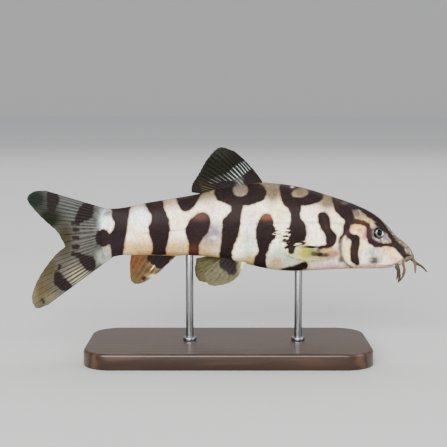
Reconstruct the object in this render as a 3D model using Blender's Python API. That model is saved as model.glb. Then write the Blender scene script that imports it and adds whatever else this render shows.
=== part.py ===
"""Yoyo loach, a life-size still model on a plain display stand.

The fish faces +X, its back is +Z and its left side is +Y. The origin is the middle of the
stand's underside. Along the fish, every place is a distance back from the tip of the snout
and a height above the line of the belly.
"""

import math

import bmesh
import bpy
import numpy as np
from mathutils import Vector

MM = 0.001

# Driving dimensions, in millimetres
SNOUT_X = 57.9
BELLY_Z = 27.0
FLESH_LENGTH = 97.6
NOSE_ROUND = 1.3
TAIL_ROUND = 1.4
GAP = 0.3
ROOT_SINK = 1.2

# Outline of the flesh: distance back from the snout, and height or half width there
BACK_LINE = (
    (0.0, 5.5), (2.0, 7.9), (5.8, 11.2), (9.5, 15.3), (13.2, 18.1), (18.8, 20.8), (26.3, 23.4),
    (36.0, 26.2), (46.0, 27.4), (56.0, 26.1), (71.0, 23.3), (83.0, 21.3), (91.6, 19.6), (97.6, 19.4),
)
BELLY_LINE = (
    (0.0, 3.4), (2.0, 3.3), (3.5, 2.9), (4.8, 2.0), (6.5, 1.3), (9.0, 1.0), (22.0, 0.8), (30.0, 0.4), (38.0, 0.0),
    (46.0, 0.8), (55.0, 2.9), (63.0, 4.4), (75.0, 4.9), (90.0, 5.0), (94.0, 4.3), (97.6, 3.4),
)
HALF_WIDTH = (
    (0.0, 1.7), (2.0, 2.35), (6.0, 3.4), (11.0, 4.75), (16.0, 5.8), (22.0, 6.7), (30.0, 7.2),
    (38.0, 7.3), (48.0, 6.9), (58.0, 6.2), (68.0, 5.1), (78.0, 3.9), (88.0, 2.8), (97.6, 1.1),
)
# Share of the height at which the body is widest, and how boxy it is above and below that level
WIDEST_LEVEL = ((0.0, 0.44), (11.0, 0.38), (24.0, 0.41), (45.0, 0.44), (75.0, 0.50), (97.6, 0.50))
BACK_BOXINESS = ((0.0, 2.2), (11.0, 2.15), (30.0, 2.05), (97.6, 2.0))
BELLY_BOXINESS = ((0.0, 2.5), (10.0, 2.8), (30.0, 2.6), (60.0, 2.3), (97.6, 2.0))
BODY_SEGMENTS = 32
BODY_RINGS = 60

# Seams between head, trunk and tail
GILL_SEAM = 22.9
VENT_SEAM = 72.4

# Eye, nostril and gill cover
EYE_PLACE = (11.7, 12.3)
EYE_RADIUS = 1.85
EYE_HALF_DEPTH = 1.15
EYE_SINK = 0.5
ORBIT_RIM = 0.32
NOSTRIL_PLACE = (6.7, 10.2)
NOSTRIL_RADIUS = 0.45
NOSTRIL_RIM = 0.85
GILL_COVER_PLACE = (19.0, 9.3)
GILL_COVER_HALF_LENGTH = 4.6
GILL_COVER_HALF_HEIGHT = 6.3
GILL_COVER_HALF_DEPTH = 0.5
GILL_COVER_SINK = 0.12

# Lips: where each is at its front and at its corner, how far out the corner is, and how thick
UPPER_LIP = {"front": 2.3, "corner": 5.3, "reach": 2.6, "radius": 0.55}
LOWER_LIP = {"front": 4.0, "corner": 5.9, "reach": 2.2, "radius": 0.5}

# Fins
MEMBRANE_HALF = 0.25
MARGIN_HALF = 0.17
RAY_RISE = 0.25
RAY_FOOT = 0.24
FIN_ROWS = (0.0, 0.1, 0.22, 0.37, 0.53, 0.7, 0.87, 1.0)

# Stand
BASE_LENGTH = 88.0
BASE_WIDTH = 40.0
BASE_HEIGHT = 5.0
BASE_CORNER = 9.0
BASE_EDGE = 0.8
ROD_RADIUS = 1.2
FRONT_ROD = 36.0
REAR_ROD = 70.0

PALE_SKIN = (0.86, 0.82, 0.74)
DARK_SKIN = (0.09, 0.07, 0.07)
FIN_OLIVE = (0.42, 0.41, 0.27)
FIN_AMBER = (0.62, 0.42, 0.22)
BARBEL_TAN = (0.55, 0.45, 0.32)
EYE_SILVER = (0.55, 0.55, 0.52)
WOOD = (0.12, 0.07, 0.04)
STEEL = (0.55, 0.55, 0.56)


def smooth_curve(points):
    """A function that runs smoothly through points of (place, value), flat past its ends."""
    places = np.array([p[0] for p in points], float)
    values = np.array([p[1] for p in points], float)
    steps = np.diff(values) / np.diff(places)
    slopes = np.concatenate([[steps[0]], (steps[:-1] + steps[1:]) / 2, [steps[-1]]])

    def value(place):
        place = np.clip(place, places[0], places[-1])
        i = np.clip(np.searchsorted(places, place) - 1, 0, len(places) - 2)
        width = places[i + 1] - places[i]
        t = (place - places[i]) / width
        return (
            (1 + 2 * t) * (1 - t) ** 2 * values[i]
            + t * (1 - t) ** 2 * width * slopes[i]
            + t * t * (3 - 2 * t) * values[i + 1]
            + t * t * (t - 1) * width * slopes[i + 1]
        )

    return value


def smooth_path(points):
    """A function of 0 to 1 that runs smoothly through evenly counted points in space."""
    counts = np.linspace(0, 1, len(points))
    axes = [smooth_curve(list(zip(counts, [p[k] for p in points]))) for k in range(3)]
    return lambda t: np.array([float(axis(t)) for axis in axes])


back_height = smooth_curve(BACK_LINE)
belly_height = smooth_curve(BELLY_LINE)
half_width = smooth_curve(HALF_WIDTH)
widest_level = smooth_curve(WIDEST_LEVEL)
back_boxiness = smooth_curve(BACK_BOXINESS)
belly_boxiness = smooth_curve(BELLY_BOXINESS)


def end_round(back):
    """How much of its full size a section keeps near the rounded snout and tail ends."""
    nose = min(1.0, back / NOSE_ROUND)
    tail = min(1.0, (FLESH_LENGTH - back) / TAIL_ROUND)
    return math.sqrt(max(0.0, 1 - (1 - nose) ** 2)) * math.sqrt(max(0.0, 1 - (1 - tail) ** 2))


def section(back):
    """The sizes of the cross section at a distance back from the snout."""
    top, low = float(back_height(back)), float(belly_height(back))
    middle, keep = (top + low) / 2, end_round(back)
    top, low = middle + (top - middle) * keep, middle + (low - middle) * keep
    level = low + (top - low) * float(widest_level(back))
    return top, low, level, float(half_width(back)) * keep


def place(back, side, height):
    """A point in the model's frame, in metres, from millimetres on the fish."""
    return Vector((SNOUT_X - back, side, BELLY_Z + height)) * MM


def skin_point(back, angle):
    """A point on the flesh: angle 0 is the left side, a quarter turn is the back."""
    top, low, level, width = section(back)
    c, s = math.cos(angle), math.sin(angle)
    power = 2 / float(back_boxiness(back) if s >= 0 else belly_boxiness(back))
    reach = (top - level) if s >= 0 else (level - low)
    side = width * math.copysign(abs(c) ** power, c)
    return place(back, side, level + reach * math.copysign(abs(s) ** power, s))


def flank(back, height):
    """How far out the flesh is at a height."""
    top, low, level, width = section(back)
    above = height >= level
    power = float(back_boxiness(back) if above else belly_boxiness(back))
    share = abs(height - level) / ((top - level) if above else (level - low))
    return width * max(0.0, 1 - min(1.0, share) ** power) ** (1 / power)


def underside(back, side):
    """The height of the flesh's underside at a distance out from the middle."""
    top, low, level, width = section(back)
    power = float(belly_boxiness(back))
    return level - (level - low) * max(0.0, 1 - min(1.0, abs(side) / width) ** power) ** (1 / power)


def flank_frame(back, height, side):
    """A place on one flank, and the way that the skin faces there."""
    step = 0.4
    out = flank(back, height)
    along = (flank(back + step, height) - flank(back - step, height)) / (2 * step)
    up = (flank(back, height + step) - flank(back, height - step)) / (2 * step)
    return place(back, side * out, height), Vector((along, side, -up)).normalized()


parts = bpy.data.collections.new("yoyo_loach")
cutters = bpy.data.collections.new("cutters")


def clear_scene():
    for old in list(bpy.data.objects):
        bpy.data.objects.remove(old)
    for collection in (parts, cutters):
        bpy.context.scene.collection.children.link(collection)


def material(name, colour, roughness, metallic=0.0):
    made = bpy.data.materials.get(name) or bpy.data.materials.new(name)
    made.use_nodes = True
    shader = made.node_tree.nodes["Principled BSDF"]
    shader.inputs["Base Color"].default_value = (*colour, 1)
    shader.inputs["Roughness"].default_value = roughness
    shader.inputs["Metallic"].default_value = metallic
    return made


def add_object(name, bm, collection, surface=None):
    """Makes an object of a bmesh and puts it in a collection."""
    mesh = bpy.data.meshes.new(name)
    if bm.calc_volume(signed=True) < 0:
        bmesh.ops.reverse_faces(bm, faces=bm.faces)
    bm.to_mesh(mesh)
    bm.free()
    if surface:
        mesh.materials.append(surface)
    obj = bpy.data.objects.new(name, mesh)
    collection.objects.link(obj)
    if collection == cutters:
        obj.hide_render = True
        obj.display_type = "WIRE"
    return obj


def boolean(obj, operation, other):
    modifier = obj.modifiers.new(operation.lower(), "BOOLEAN")
    modifier.operation = operation
    modifier.solver = "EXACT"
    if isinstance(other, bpy.types.Collection):
        modifier.operand_type = "COLLECTION"
        modifier.collection = other
    else:
        modifier.object = other
    return modifier


def settle(obj):
    """Applies the modifiers and keeps only the largest closed surface, in triangles."""
    bpy.context.view_layer.update()
    graph = bpy.context.evaluated_depsgraph_get()
    mesh = bpy.data.meshes.new_from_object(obj.evaluated_get(graph))
    obj.modifiers.clear()
    obj.data = mesh
    bm = bmesh.new()
    bm.from_mesh(mesh)
    bmesh.ops.remove_doubles(bm, verts=bm.verts, dist=0.004 * MM)
    bmesh.ops.dissolve_degenerate(bm, edges=bm.edges, dist=0.003 * MM)
    bmesh.ops.triangulate(bm, faces=bm.faces)
    islands, seen = [], set()
    for start in bm.verts:
        if start in seen:
            continue
        island, queue = set(), [start]
        while queue:
            vert = queue.pop()
            if vert in island:
                continue
            island.add(vert)
            queue += [edge.other_vert(vert) for edge in vert.link_edges]
        seen |= island
        islands.append(island)
    largest = max(islands, key=len)
    loose = [vert for vert in bm.verts if vert not in largest]
    bmesh.ops.delete(bm, geom=loose, context="VERTS")
    bm.to_mesh(mesh)
    bm.free()
    mesh.shade_smooth()
    mesh.set_sharp_from_angle(angle=math.radians(40))
    return obj


def body_blank(name, collection, surface=None, grow=0.0):
    """The whole flesh: a sphere whose rings become the body's sections, grown by a margin."""
    bm = bmesh.new()
    bmesh.ops.create_uvsphere(bm, u_segments=BODY_SEGMENTS, v_segments=BODY_RINGS, radius=1)
    for vert in bm.verts:
        back = FLESH_LENGTH * (1 - vert.co.z) / 2
        vert.co = skin_point(back, math.atan2(vert.co.y, vert.co.x))
    bm.normal_update()
    for vert in bm.verts:
        vert.co += vert.normal * grow * MM
    return add_object(name, bm, collection, surface)


def region_box(name, start, end):
    """A box that holds the body from one distance back to another."""
    bm = bmesh.new()
    bmesh.ops.create_cube(bm, size=1)
    wide, tall = 40.0, 80.0
    for vert in bm.verts:
        back = start if vert.co.x > 0 else end
        vert.co = place(back, vert.co.y * wide, vert.co.z * tall)
    return add_object(name, bm, cutters)


def flat_ball(name, collection, middle, facing, radius, half_depth, surface=None, detail=(16, 8)):
    """A ball flattened along the way it faces, as an eye is."""
    bm = bmesh.new()
    bmesh.ops.create_uvsphere(bm, u_segments=detail[0], v_segments=detail[1], radius=1)
    turn = facing.to_track_quat("Z", "Y")
    for vert in bm.verts:
        flat = Vector((vert.co.x * radius, vert.co.y * radius, vert.co.z * half_depth)) * MM
        vert.co = middle + turn @ flat
    return add_object(name, bm, collection, surface)


def gill_plate(name, collection, side, grow, surface=None):
    """A gill cover: a lens that lies along the cheek, thick to near its edge."""
    bm = bmesh.new()
    bmesh.ops.create_uvsphere(bm, u_segments=26, v_segments=6, radius=1)
    for vert in bm.verts:
        back = GILL_COVER_PLACE[0] + vert.co.x * (GILL_COVER_HALF_LENGTH + grow)
        height = GILL_COVER_PLACE[1] + vert.co.y * (GILL_COVER_HALF_HEIGHT + grow)
        depth = math.copysign(abs(vert.co.z) ** 0.5, vert.co.z) * (GILL_COVER_HALF_DEPTH + grow)
        point, facing = flank_frame(back, height, side)
        vert.co = point + facing * (depth - GILL_COVER_SINK) * MM
    return add_object(name, bm, collection, surface)


def lip(name, collection, sizes):
    """A lip: a tube that bows forward under the snout from corner to corner."""
    curve = bpy.data.curves.new(name, "CURVE")
    curve.dimensions = "3D"
    curve.bevel_depth = sizes["radius"] * MM
    curve.bevel_resolution = 2
    curve.use_fill_caps = True
    spline = curve.splines.new("POLY")
    count = 11
    spline.points.add(count - 1)
    for k, point in enumerate(spline.points):
        t = 2 * k / (count - 1) - 1
        back = sizes["front"] + (sizes["corner"] - sizes["front"]) * t * t
        side = sizes["reach"] * t
        point.co = (*place(back, side, underside(back, side) + 0.1), 1)
        point.radius = 1 - 0.45 * t * t
    return mesh_of_curve(name, collection, curve)


def mesh_of_curve(name, collection, curve, surface=None):
    """Turns a curve with filled caps into a closed mesh object."""
    tube = bpy.data.objects.new(name + "_line", curve)
    collection.objects.link(tube)
    bpy.context.view_layer.update()
    graph = bpy.context.evaluated_depsgraph_get()
    mesh = bpy.data.meshes.new_from_object(tube.evaluated_get(graph))
    bpy.data.objects.remove(tube)
    bm = bmesh.new()
    bm.from_mesh(mesh)
    bmesh.ops.remove_doubles(bm, verts=bm.verts, dist=0.01 * MM)
    bmesh.ops.triangulate(bm, faces=bm.faces)
    return add_object(name, bm, collection, surface)


def make_head(skin, flesh_box):
    """The head: lips, eye rims and nostril rims are joined on, then the sockets are cut."""
    head = body_blank("head", parts, skin)
    boolean(head, "INTERSECT", flesh_box)
    settle(head)
    joined = bpy.data.collections.new("head_forms")
    bpy.context.scene.collection.children.link(joined)
    lip("upper_lip", joined, UPPER_LIP)
    lip("lower_lip", joined, LOWER_LIP)
    for side in (1, -1):
        point, facing = flank_frame(*EYE_PLACE, side)
        flat_ball(f"rim_{side}", joined, point, facing, EYE_RADIUS + ORBIT_RIM + GAP, 0.42, None, (18, 6))
        point, facing = flank_frame(*NOSTRIL_PLACE, side)
        flat_ball(f"nose_{side}", joined, point, facing, NOSTRIL_RIM, 0.35, None, (11, 4))
    boolean(head, "UNION", joined)
    settle(head)
    for form in list(joined.objects):
        bpy.data.objects.remove(form)
    bpy.data.collections.remove(joined)
    for side in (1, -1):
        point, facing = flank_frame(*EYE_PLACE, side)
        middle = point - facing * EYE_SINK * MM
        socket = flat_ball(
            f"socket_{side}", cutters, middle, facing, EYE_RADIUS + GAP, EYE_HALF_DEPTH + GAP
        )
        boolean(head, "DIFFERENCE", socket)
        point, facing = flank_frame(*NOSTRIL_PLACE, side)
        pit = flat_ball(f"pit_{side}", cutters, point, facing, NOSTRIL_RADIUS, 0.8, None, (8, 4))
        boolean(head, "DIFFERENCE", pit)
    return head


def fin(name, surface, root, margin, rays, root_half, facing=(0, 1, 0), bow=(0, 0, 0)):
    """A fin: a thin grid laid from root to margin, with raised rays, the first of them bowed."""
    columns = [(0.0, 1.0)]
    spacing = 1 / (rays - 1)
    foot = RAY_FOOT * spacing
    for k in range(rays):
        if k:
            columns += [(k * spacing - foot, 0.0), (k * spacing, 1.0)]
        if k < rays - 1:
            columns.append((k * spacing + foot, 0.0))
    across, along = len(columns) - 1, len(FIN_ROWS) - 1
    bm = bmesh.new()
    bmesh.ops.create_cube(bm, size=2)
    for axis, count in ((0, across), (1, along)):
        edges = [e for e in bm.edges if abs(e.verts[0].co[axis] - e.verts[1].co[axis]) > 1]
        bmesh.ops.subdivide_edges(bm, edges=edges, cuts=count - 1, use_grid_fill=True)
    split_quads_alike(bm, across, along)
    root_line, margin_line = smooth_path(root), smooth_path(margin)
    out = Vector(facing).normalized()
    for vert in bm.verts:
        u, crest = columns[round((vert.co.x + 1) / 2 * across)]
        v = FIN_ROWS[round((vert.co.y + 1) / 2 * along)]
        middle = Vector(root_line(u) * (1 - v) + margin_line(u) * v)
        middle += Vector(bow) * 4 * v * (1 - v) * (1 - u) ** 2
        thick = MEMBRANE_HALF + (root_half - MEMBRANE_HALF) * (1 - min(1.0, v / 0.45)) ** 2
        thick += crest * RAY_RISE * (1 - 0.7 * v)
        if v == 1.0:
            thick = MARGIN_HALF
        vert.co = place(*middle) + out * thick * math.copysign(1, vert.co.z) * MM
    return add_object(name, bm, parts, surface)


def split_quads_alike(bm, across, along):
    """Cuts each square of both faces of a thin grid along the same diagonal."""
    bm.faces.ensure_lookup_table()
    for face in [f for f in bm.faces if abs(sum(v.co.z for v in f.verts)) > 3.9]:
        rising = sorted(face.verts, key=lambda v: v.co.x * across + v.co.y * along)
        bmesh.utils.face_split(face, rising[0], rising[-1])


def barbel(name, surface, path, width, flare=0.1):
    """A barbel: a tapered tube along a smooth path, swollen at its root and thinnest at its tip."""
    curve = bpy.data.curves.new(name, "CURVE")
    curve.dimensions = "3D"
    curve.bevel_depth = width / 2 * MM
    curve.bevel_resolution = 2
    curve.use_fill_caps = True
    spline = curve.splines.new("POLY")
    count = 14
    spline.points.add(count - 1)
    line = smooth_path(path)
    for k, point in enumerate(spline.points):
        t = k / (count - 1)
        point.co = (*place(*line(t)), 1)
        point.radius = (1 - 0.4 * t) * (1 + flare * math.exp(-((t / 0.3) ** 2))) if k < count - 1 else 0.32
    return mesh_of_curve(name, parts, curve, surface)


def mirrored(points):
    return [(back, -side, height) for back, side, height in points]


def make_fins(olive, amber, grown_body):
    """Every fin, with its root sunk in the flesh and then cut back to the skin."""
    made = [
        fin(
            "dorsal_fin", olive,
            [(46.5, 0, 26.4), (50.5, 0, 26.0), (54.6, 0, 25.3), (58.6, 0, 24.4), (62.4, 0, 23.6)],
            [(56.3, 0, 37.4), (60.7, 0, 38.4), (64.4, 0, 34.9), (66.9, 0, 30.6), (69.1, 0, 27.0), (69.4, 0, 24.5)],
            11, 0.8, bow=(-0.5, 0, 0.6),
        ),
        fin(
            "anal_fin", amber,
            [(73.3, 0, 5.7), (81.1, 0, 6.0), (88.1, 0, 6.1)],
            [(82.0, 0, -2.4), (84.8, 0, -3.9), (87.0, 0, -4.2), (88.3, 0, -3.1), (88.6, 0, -0.5), (88.6, 0, 2.4)],
            8, 0.75, bow=(-0.25, 0, -0.3),
        ),
        fin(
            "caudal_fin_upper", olive,
            [(94.0, 0, 18.9), (94.9, 0, 15.4), (95.2, 0, 11.8)],
            [
                (114.6, 0, 25.1), (118.4, 0, 24.7), (120.3, 0, 22.4), (117.9, 0, 18.8), (114.5, 0, 15.3),
                (111.2, 0, 12.2), (108.8, 0, 7.75),
            ],
            10, 0.8,
        ),
        fin(
            "caudal_fin_lower", olive,
            [(95.2, 0, 11.3), (94.9, 0, 7.2), (93.4, 0, 4.6)],
            [
                (108.6, 0, 7.42), (111.4, 0, 5.4), (114.2, 0, 2.1), (116.8, 0, -1.7), (118.7, 0, -5.7),
                (119.4, 0, -9.2), (117.9, 0, -11.9), (114.3, 0, -10.8),
            ],
            10, 0.8,
        ),
    ]
    near_root = [(51.6, -2.2, 3.8), (55.2, -2.3, 4.7), (58.6, -2.2, 5.6)]
    far_root = [(53.3, 2.2, 4.2), (56.0, 2.3, 4.9), (58.6, 2.2, 5.6)]
    near_margin = [
        (54.9, -3.2, -1.3), (56.7, -3.5, -2.8), (59.3, -3.8, -3.8), (62.3, -3.9, -4.2), (64.5, -3.8, -3.4), (65.4, -3.5, -0.4),
    ]
    far_margin = [
        (57.8, 3.4, -3.3), (60.9, 3.7, -4.3), (64.6, 3.9, -4.4), (67.4, 3.9, -3.6), (68.5, 3.8, -0.6), (68.0, 3.5, 3.4),
    ]
    made.append(fin("pelvic_fin_right", olive, near_root, near_margin, 8, 0.7))
    made.append(fin("pelvic_fin_left", olive, far_root, far_margin, 8, 0.7))
    pectoral_root = [(24.0, -4.7, 4.9), (25.0, -4.8, 5.9), (26.0, -4.9, 6.9)]
    pectoral_margin = [
        (34.2, -13.6, 5.0), (38.0, -13.1, 5.9), (40.6, -11.9, 6.9), (40.9, -10.5, 7.9), (38.6, -9.3, 8.8), (33.8, -8.4, 9.2),
    ]
    made.append(fin("pectoral_fin_right", olive, pectoral_root, pectoral_margin, 11, 0.7, (-0.35, 0.68, -0.6)))
    made.append(
        fin("pectoral_fin_left", olive, mirrored(pectoral_root), mirrored(pectoral_margin), 11, 0.7, (-0.35, -0.68, -0.6))
    )
    for item in made:
        boolean(item, "DIFFERENCE", grown_body)
        settle(item)


def make_barbels(surface, grown_body):
    """Two pairs at the snout tip, a pair at the mouth's corners and a short pair under the chin."""
    hanging = [(1.0, -0.9, 4.1), (0.2, -0.95, 3.2), (-0.2, -1.0, 2.3), (-0.3, -1.0, 1.3), (-0.3, -1.0, 0.3), (-0.35, -1.0, -0.7)]
    reaching = [
        (1.0, 0.9, 4.1), (0.1, 0.95, 3.2), (-0.8, 1.0, 2.3), (-1.8, 1.2, 1.7), (-2.8, 1.5, 1.05), (-3.7, 1.8, 0.2),
        (-4.6, 1.95, -0.8),
    ]
    swept_right = [
        (1.3, -1.0, 4.7), (0.9, -2.2, 4.5), (1.9, -3.3, 4.5), (3.1, -3.9, 4.3), (4.0, -4.3, 3.6), (4.15, -4.5, 2.6),
        (3.75, -4.6, 1.5), (3.65, -4.6, 0.4), (4.0, -4.4, -0.8), (4.5, -4.2, -1.8), (5.1, -4.1, -2.8),
    ]
    swept_left = [
        (1.3, 1.0, 4.7), (0.9, 2.2, 4.5), (1.5, 3.2, 4.2), (2.2, 3.9, 3.5), (2.6, 4.2, 2.5), (2.5, 4.3, 1.4),
        (2.3, 4.3, 0.3), (2.4, 4.2, -0.9), (2.9, 4.0, -2.0),
    ]
    corner_right = [
        (6.2, -2.2, 3.2), (5.7, -2.8, 2.1), (5.25, -3.0, 1.0), (5.0, -3.0, -0.1), (4.9, -3.0, -1.2), (5.0, -2.9, -2.3),
        (5.25, -2.7, -3.4),
    ]
    corner_left = [
        (6.2, 2.2, 3.2), (5.7, 2.8, 2.1), (5.0, 3.0, 1.0), (4.5, 3.0, -0.1), (4.4, 3.0, -1.2), (4.6, 2.8, -2.3),
        (4.9, 2.7, -3.3),
    ]
    chin = [(5.6, -1.0, 2.6), (5.4, -1.05, 0.9), (5.0, -1.15, 0.1), (4.5, -1.2, -0.7)]
    made = [
        barbel("barbel_snout_inner_right", surface, hanging, 1.0, 0.35),
        barbel("barbel_snout_inner_left", surface, reaching, 1.0, 0.35),
        barbel("barbel_snout_outer_right", surface, swept_right, 1.05),
        barbel("barbel_snout_outer_left", surface, swept_left, 1.05),
        barbel("barbel_corner_right", surface, corner_right, 1.05),
        barbel("barbel_corner_left", surface, corner_left, 1.05),
        barbel("barbel_chin_right", surface, chin, 0.85),
        barbel("barbel_chin_left", surface, mirrored(chin), 0.85),
    ]
    for item in made:
        boolean(item, "DIFFERENCE", grown_body)
        settle(item)


def make_stand(wood, steel, grown_body):
    """A flat base with rounded corners, and two rods that reach up to the belly."""
    bm = bmesh.new()
    bmesh.ops.create_cube(bm, size=1)
    for vert in bm.verts:
        vert.co.x *= BASE_LENGTH * MM
        vert.co.y *= BASE_WIDTH * MM
        vert.co.z = (vert.co.z + 0.5) * BASE_HEIGHT * MM
    upright = [e for e in bm.edges if abs(e.verts[0].co.z - e.verts[1].co.z) > 1 * MM]
    bmesh.ops.bevel(bm, geom=upright, offset=BASE_CORNER * MM, segments=7, profile=0.5, affect="EDGES")
    rim = [e for e in bm.edges if min(v.co.z for v in e.verts) > (BASE_HEIGHT - 0.1) * MM]
    bmesh.ops.bevel(bm, geom=rim, offset=BASE_EDGE * MM, segments=2, profile=0.5, affect="EDGES")
    bmesh.ops.triangulate(bm, faces=bm.faces)
    add_object("stand_base", bm, parts, wood)
    for name, back in (("stand_rod_front", FRONT_ROD), ("stand_rod_rear", REAR_ROD)):
        foot = BASE_HEIGHT + GAP
        head = BELLY_Z + float(belly_height(back)) + ROOT_SINK
        bm = bmesh.new()
        bmesh.ops.create_cone(
            bm, cap_ends=True, segments=20, radius1=ROD_RADIUS * MM, radius2=ROD_RADIUS * MM, depth=(head - foot) * MM
        )
        bmesh.ops.translate(bm, verts=bm.verts, vec=Vector((SNOUT_X - back, 0, (head + foot) / 2)) * MM)
        rod = add_object(name, bm, parts, steel)
        boolean(rod, "DIFFERENCE", grown_body)
        settle(rod)


def main():
    clear_scene()
    skin = material("skin", PALE_SKIN, 0.35)
    shade = material("skin_dark", DARK_SKIN, 0.35)
    olive = material("fin_olive", FIN_OLIVE, 0.4)
    amber = material("fin_amber", FIN_AMBER, 0.4)
    tan = material("barbel", BARBEL_TAN, 0.4)
    silver = material("eye", EYE_SILVER, 0.1)
    wood = material("stand_wood", WOOD, 0.35)
    steel = material("stand_steel", STEEL, 0.25, 1.0)
    grown_body = body_blank("grown_body", cutters, grow=GAP)
    head_box = region_box("head_region", -20.0, GILL_SEAM - GAP / 2)
    trunk_box = region_box("trunk_region", GILL_SEAM + GAP / 2, VENT_SEAM - GAP / 2)
    tail_box = region_box("tail_region", VENT_SEAM + GAP / 2, FLESH_LENGTH + 20.0)
    head = make_head(skin, head_box)
    trunk = body_blank("trunk", parts, skin)
    boolean(trunk, "INTERSECT", trunk_box)
    tail = body_blank("tail", parts, shade)
    boolean(tail, "INTERSECT", tail_box)
    for side, hand in ((1, "left"), (-1, "right")):
        pocket = gill_plate(f"pocket_{hand}", cutters, side, GAP)
        boolean(head, "DIFFERENCE", pocket)
        boolean(trunk, "DIFFERENCE", pocket)
        settle(gill_plate(f"gill_cover_{hand}", parts, side, 0.0, skin))
        point, facing = flank_frame(*EYE_PLACE, side)
        eye_middle = point - facing * EYE_SINK * MM
        eye = flat_ball(f"eye_{hand}", parts, eye_middle, facing, EYE_RADIUS, EYE_HALF_DEPTH, silver)
        settle(eye)
    for flesh in (head, trunk, tail):
        settle(flesh)
    make_fins(olive, amber, grown_body)
    make_barbels(tan, grown_body)
    make_stand(wood, steel, grown_body)


main()
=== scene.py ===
"""A life-size yoyo loach on a plain display stand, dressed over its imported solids.

The fish faces +X, its back is up and its left side is +Y. Along the fish, places are given in
millimetres back from the tip of the snout and up from the line of the belly.
"""

import math

import bpy
import numpy as np
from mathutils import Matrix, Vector


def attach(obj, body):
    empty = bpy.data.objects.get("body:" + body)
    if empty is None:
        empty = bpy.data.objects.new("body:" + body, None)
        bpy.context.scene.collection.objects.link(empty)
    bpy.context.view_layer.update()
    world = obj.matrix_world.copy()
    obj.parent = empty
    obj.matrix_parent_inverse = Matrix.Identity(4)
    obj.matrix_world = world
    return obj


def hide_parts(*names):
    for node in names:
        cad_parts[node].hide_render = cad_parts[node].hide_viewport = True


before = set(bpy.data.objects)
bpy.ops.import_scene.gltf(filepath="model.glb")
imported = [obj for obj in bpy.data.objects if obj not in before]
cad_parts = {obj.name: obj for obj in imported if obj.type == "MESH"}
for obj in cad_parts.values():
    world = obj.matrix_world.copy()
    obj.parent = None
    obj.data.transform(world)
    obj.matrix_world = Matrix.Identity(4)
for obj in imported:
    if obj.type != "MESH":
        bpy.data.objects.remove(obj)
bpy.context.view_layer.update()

# Skin of the whole fish.
# One unbroken skin over head, trunk and tail: pearly white and cream, crossed by near-black
# bars that fork and loop, wet and finely scaled, with gill openings, nostrils and fleshy lips.

MM = 0.001
SNOUT_X = 57.9
BELLY_Z = 27.0
FLESH_LENGTH = 97.6
NOSE_ROUND = 1.3
TAIL_ROUND = 1.4
BACK_LINE = (
    (0.0, 5.5), (2.0, 7.9), (5.8, 11.2), (9.5, 15.3), (13.2, 18.1), (18.8, 20.8), (26.3, 23.4), (36.0, 26.2),
    (46.0, 27.4), (56.0, 26.1), (71.0, 23.3), (83.0, 21.3), (91.6, 19.6), (97.6, 19.4),
)
BELLY_LINE = (
    (0.0, 3.4), (2.0, 3.3), (3.5, 2.9), (4.8, 2.0), (6.5, 1.3), (9.0, 1.0), (22.0, 0.8), (30.0, 0.4),
    (38.0, 0.0), (46.0, 0.8), (55.0, 2.9), (63.0, 4.4), (75.0, 4.9), (90.0, 5.0), (94.0, 4.3), (97.6, 3.4),
)
HALF_WIDTH = (
    (0.0, 1.7), (2.0, 2.35), (6.0, 3.4), (11.0, 4.75), (16.0, 5.8), (22.0, 6.7), (30.0, 7.2), (38.0, 7.3),
    (48.0, 6.9), (58.0, 6.2), (68.0, 5.1), (78.0, 3.9), (88.0, 2.65), (92.0, 1.95), (95.0, 1.2), (97.6, 0.6),
)
WIDEST_LEVEL = ((0.0, 0.44), (11.0, 0.38), (24.0, 0.41), (45.0, 0.44), (75.0, 0.50), (97.6, 0.50))
BACK_BOXINESS = ((0.0, 2.2), (11.0, 2.15), (30.0, 2.05), (97.6, 2.0))
BELLY_BOXINESS = ((0.0, 2.5), (10.0, 2.8), (30.0, 2.6), (60.0, 2.3), (97.6, 2.0))
# Rings of the skin are close together on the head and wider apart on the trunk
RING_SPREAD = (
    (0.0, 0.0), (0.02, 0.05), (0.05, 0.32), (0.1, 1.2), (0.2, 3.9), (0.35, 9.6), (0.5, 17.0), (0.6, 25.0),
    (0.75, 47.0), (0.9, 80.0), (0.97, 95.6), (0.99, 97.42), (1.0, 97.6),
)
EYE_PLACE = (11.7, 12.3)
EYE_RADIUS = 1.85
EYE_HALF_DEPTH = 1.15
EYE_SINK = 0.5


def smooth_curve(points):
    """A function that runs smoothly through points of (place, value), flat past its ends."""
    places = np.array([p[0] for p in points], float)
    values = np.array([p[1] for p in points], float)
    steps = np.diff(values) / np.diff(places)
    slopes = np.concatenate([[steps[0]], (steps[:-1] + steps[1:]) / 2, [steps[-1]]])

    def value(place):
        place = np.clip(place, places[0], places[-1])
        i = np.clip(np.searchsorted(places, place) - 1, 0, len(places) - 2)
        width = places[i + 1] - places[i]
        t = (place - places[i]) / width
        return (
            (1 + 2 * t) * (1 - t) ** 2 * values[i]
            + t * (1 - t) ** 2 * width * slopes[i]
            + t * t * (3 - 2 * t) * values[i + 1]
            + t * t * (t - 1) * width * slopes[i + 1]
        )

    return value


back_height, belly_height = smooth_curve(BACK_LINE), smooth_curve(BELLY_LINE)
half_width, widest_level = smooth_curve(HALF_WIDTH), smooth_curve(WIDEST_LEVEL)
back_boxiness, belly_boxiness = smooth_curve(BACK_BOXINESS), smooth_curve(BELLY_BOXINESS)


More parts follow.
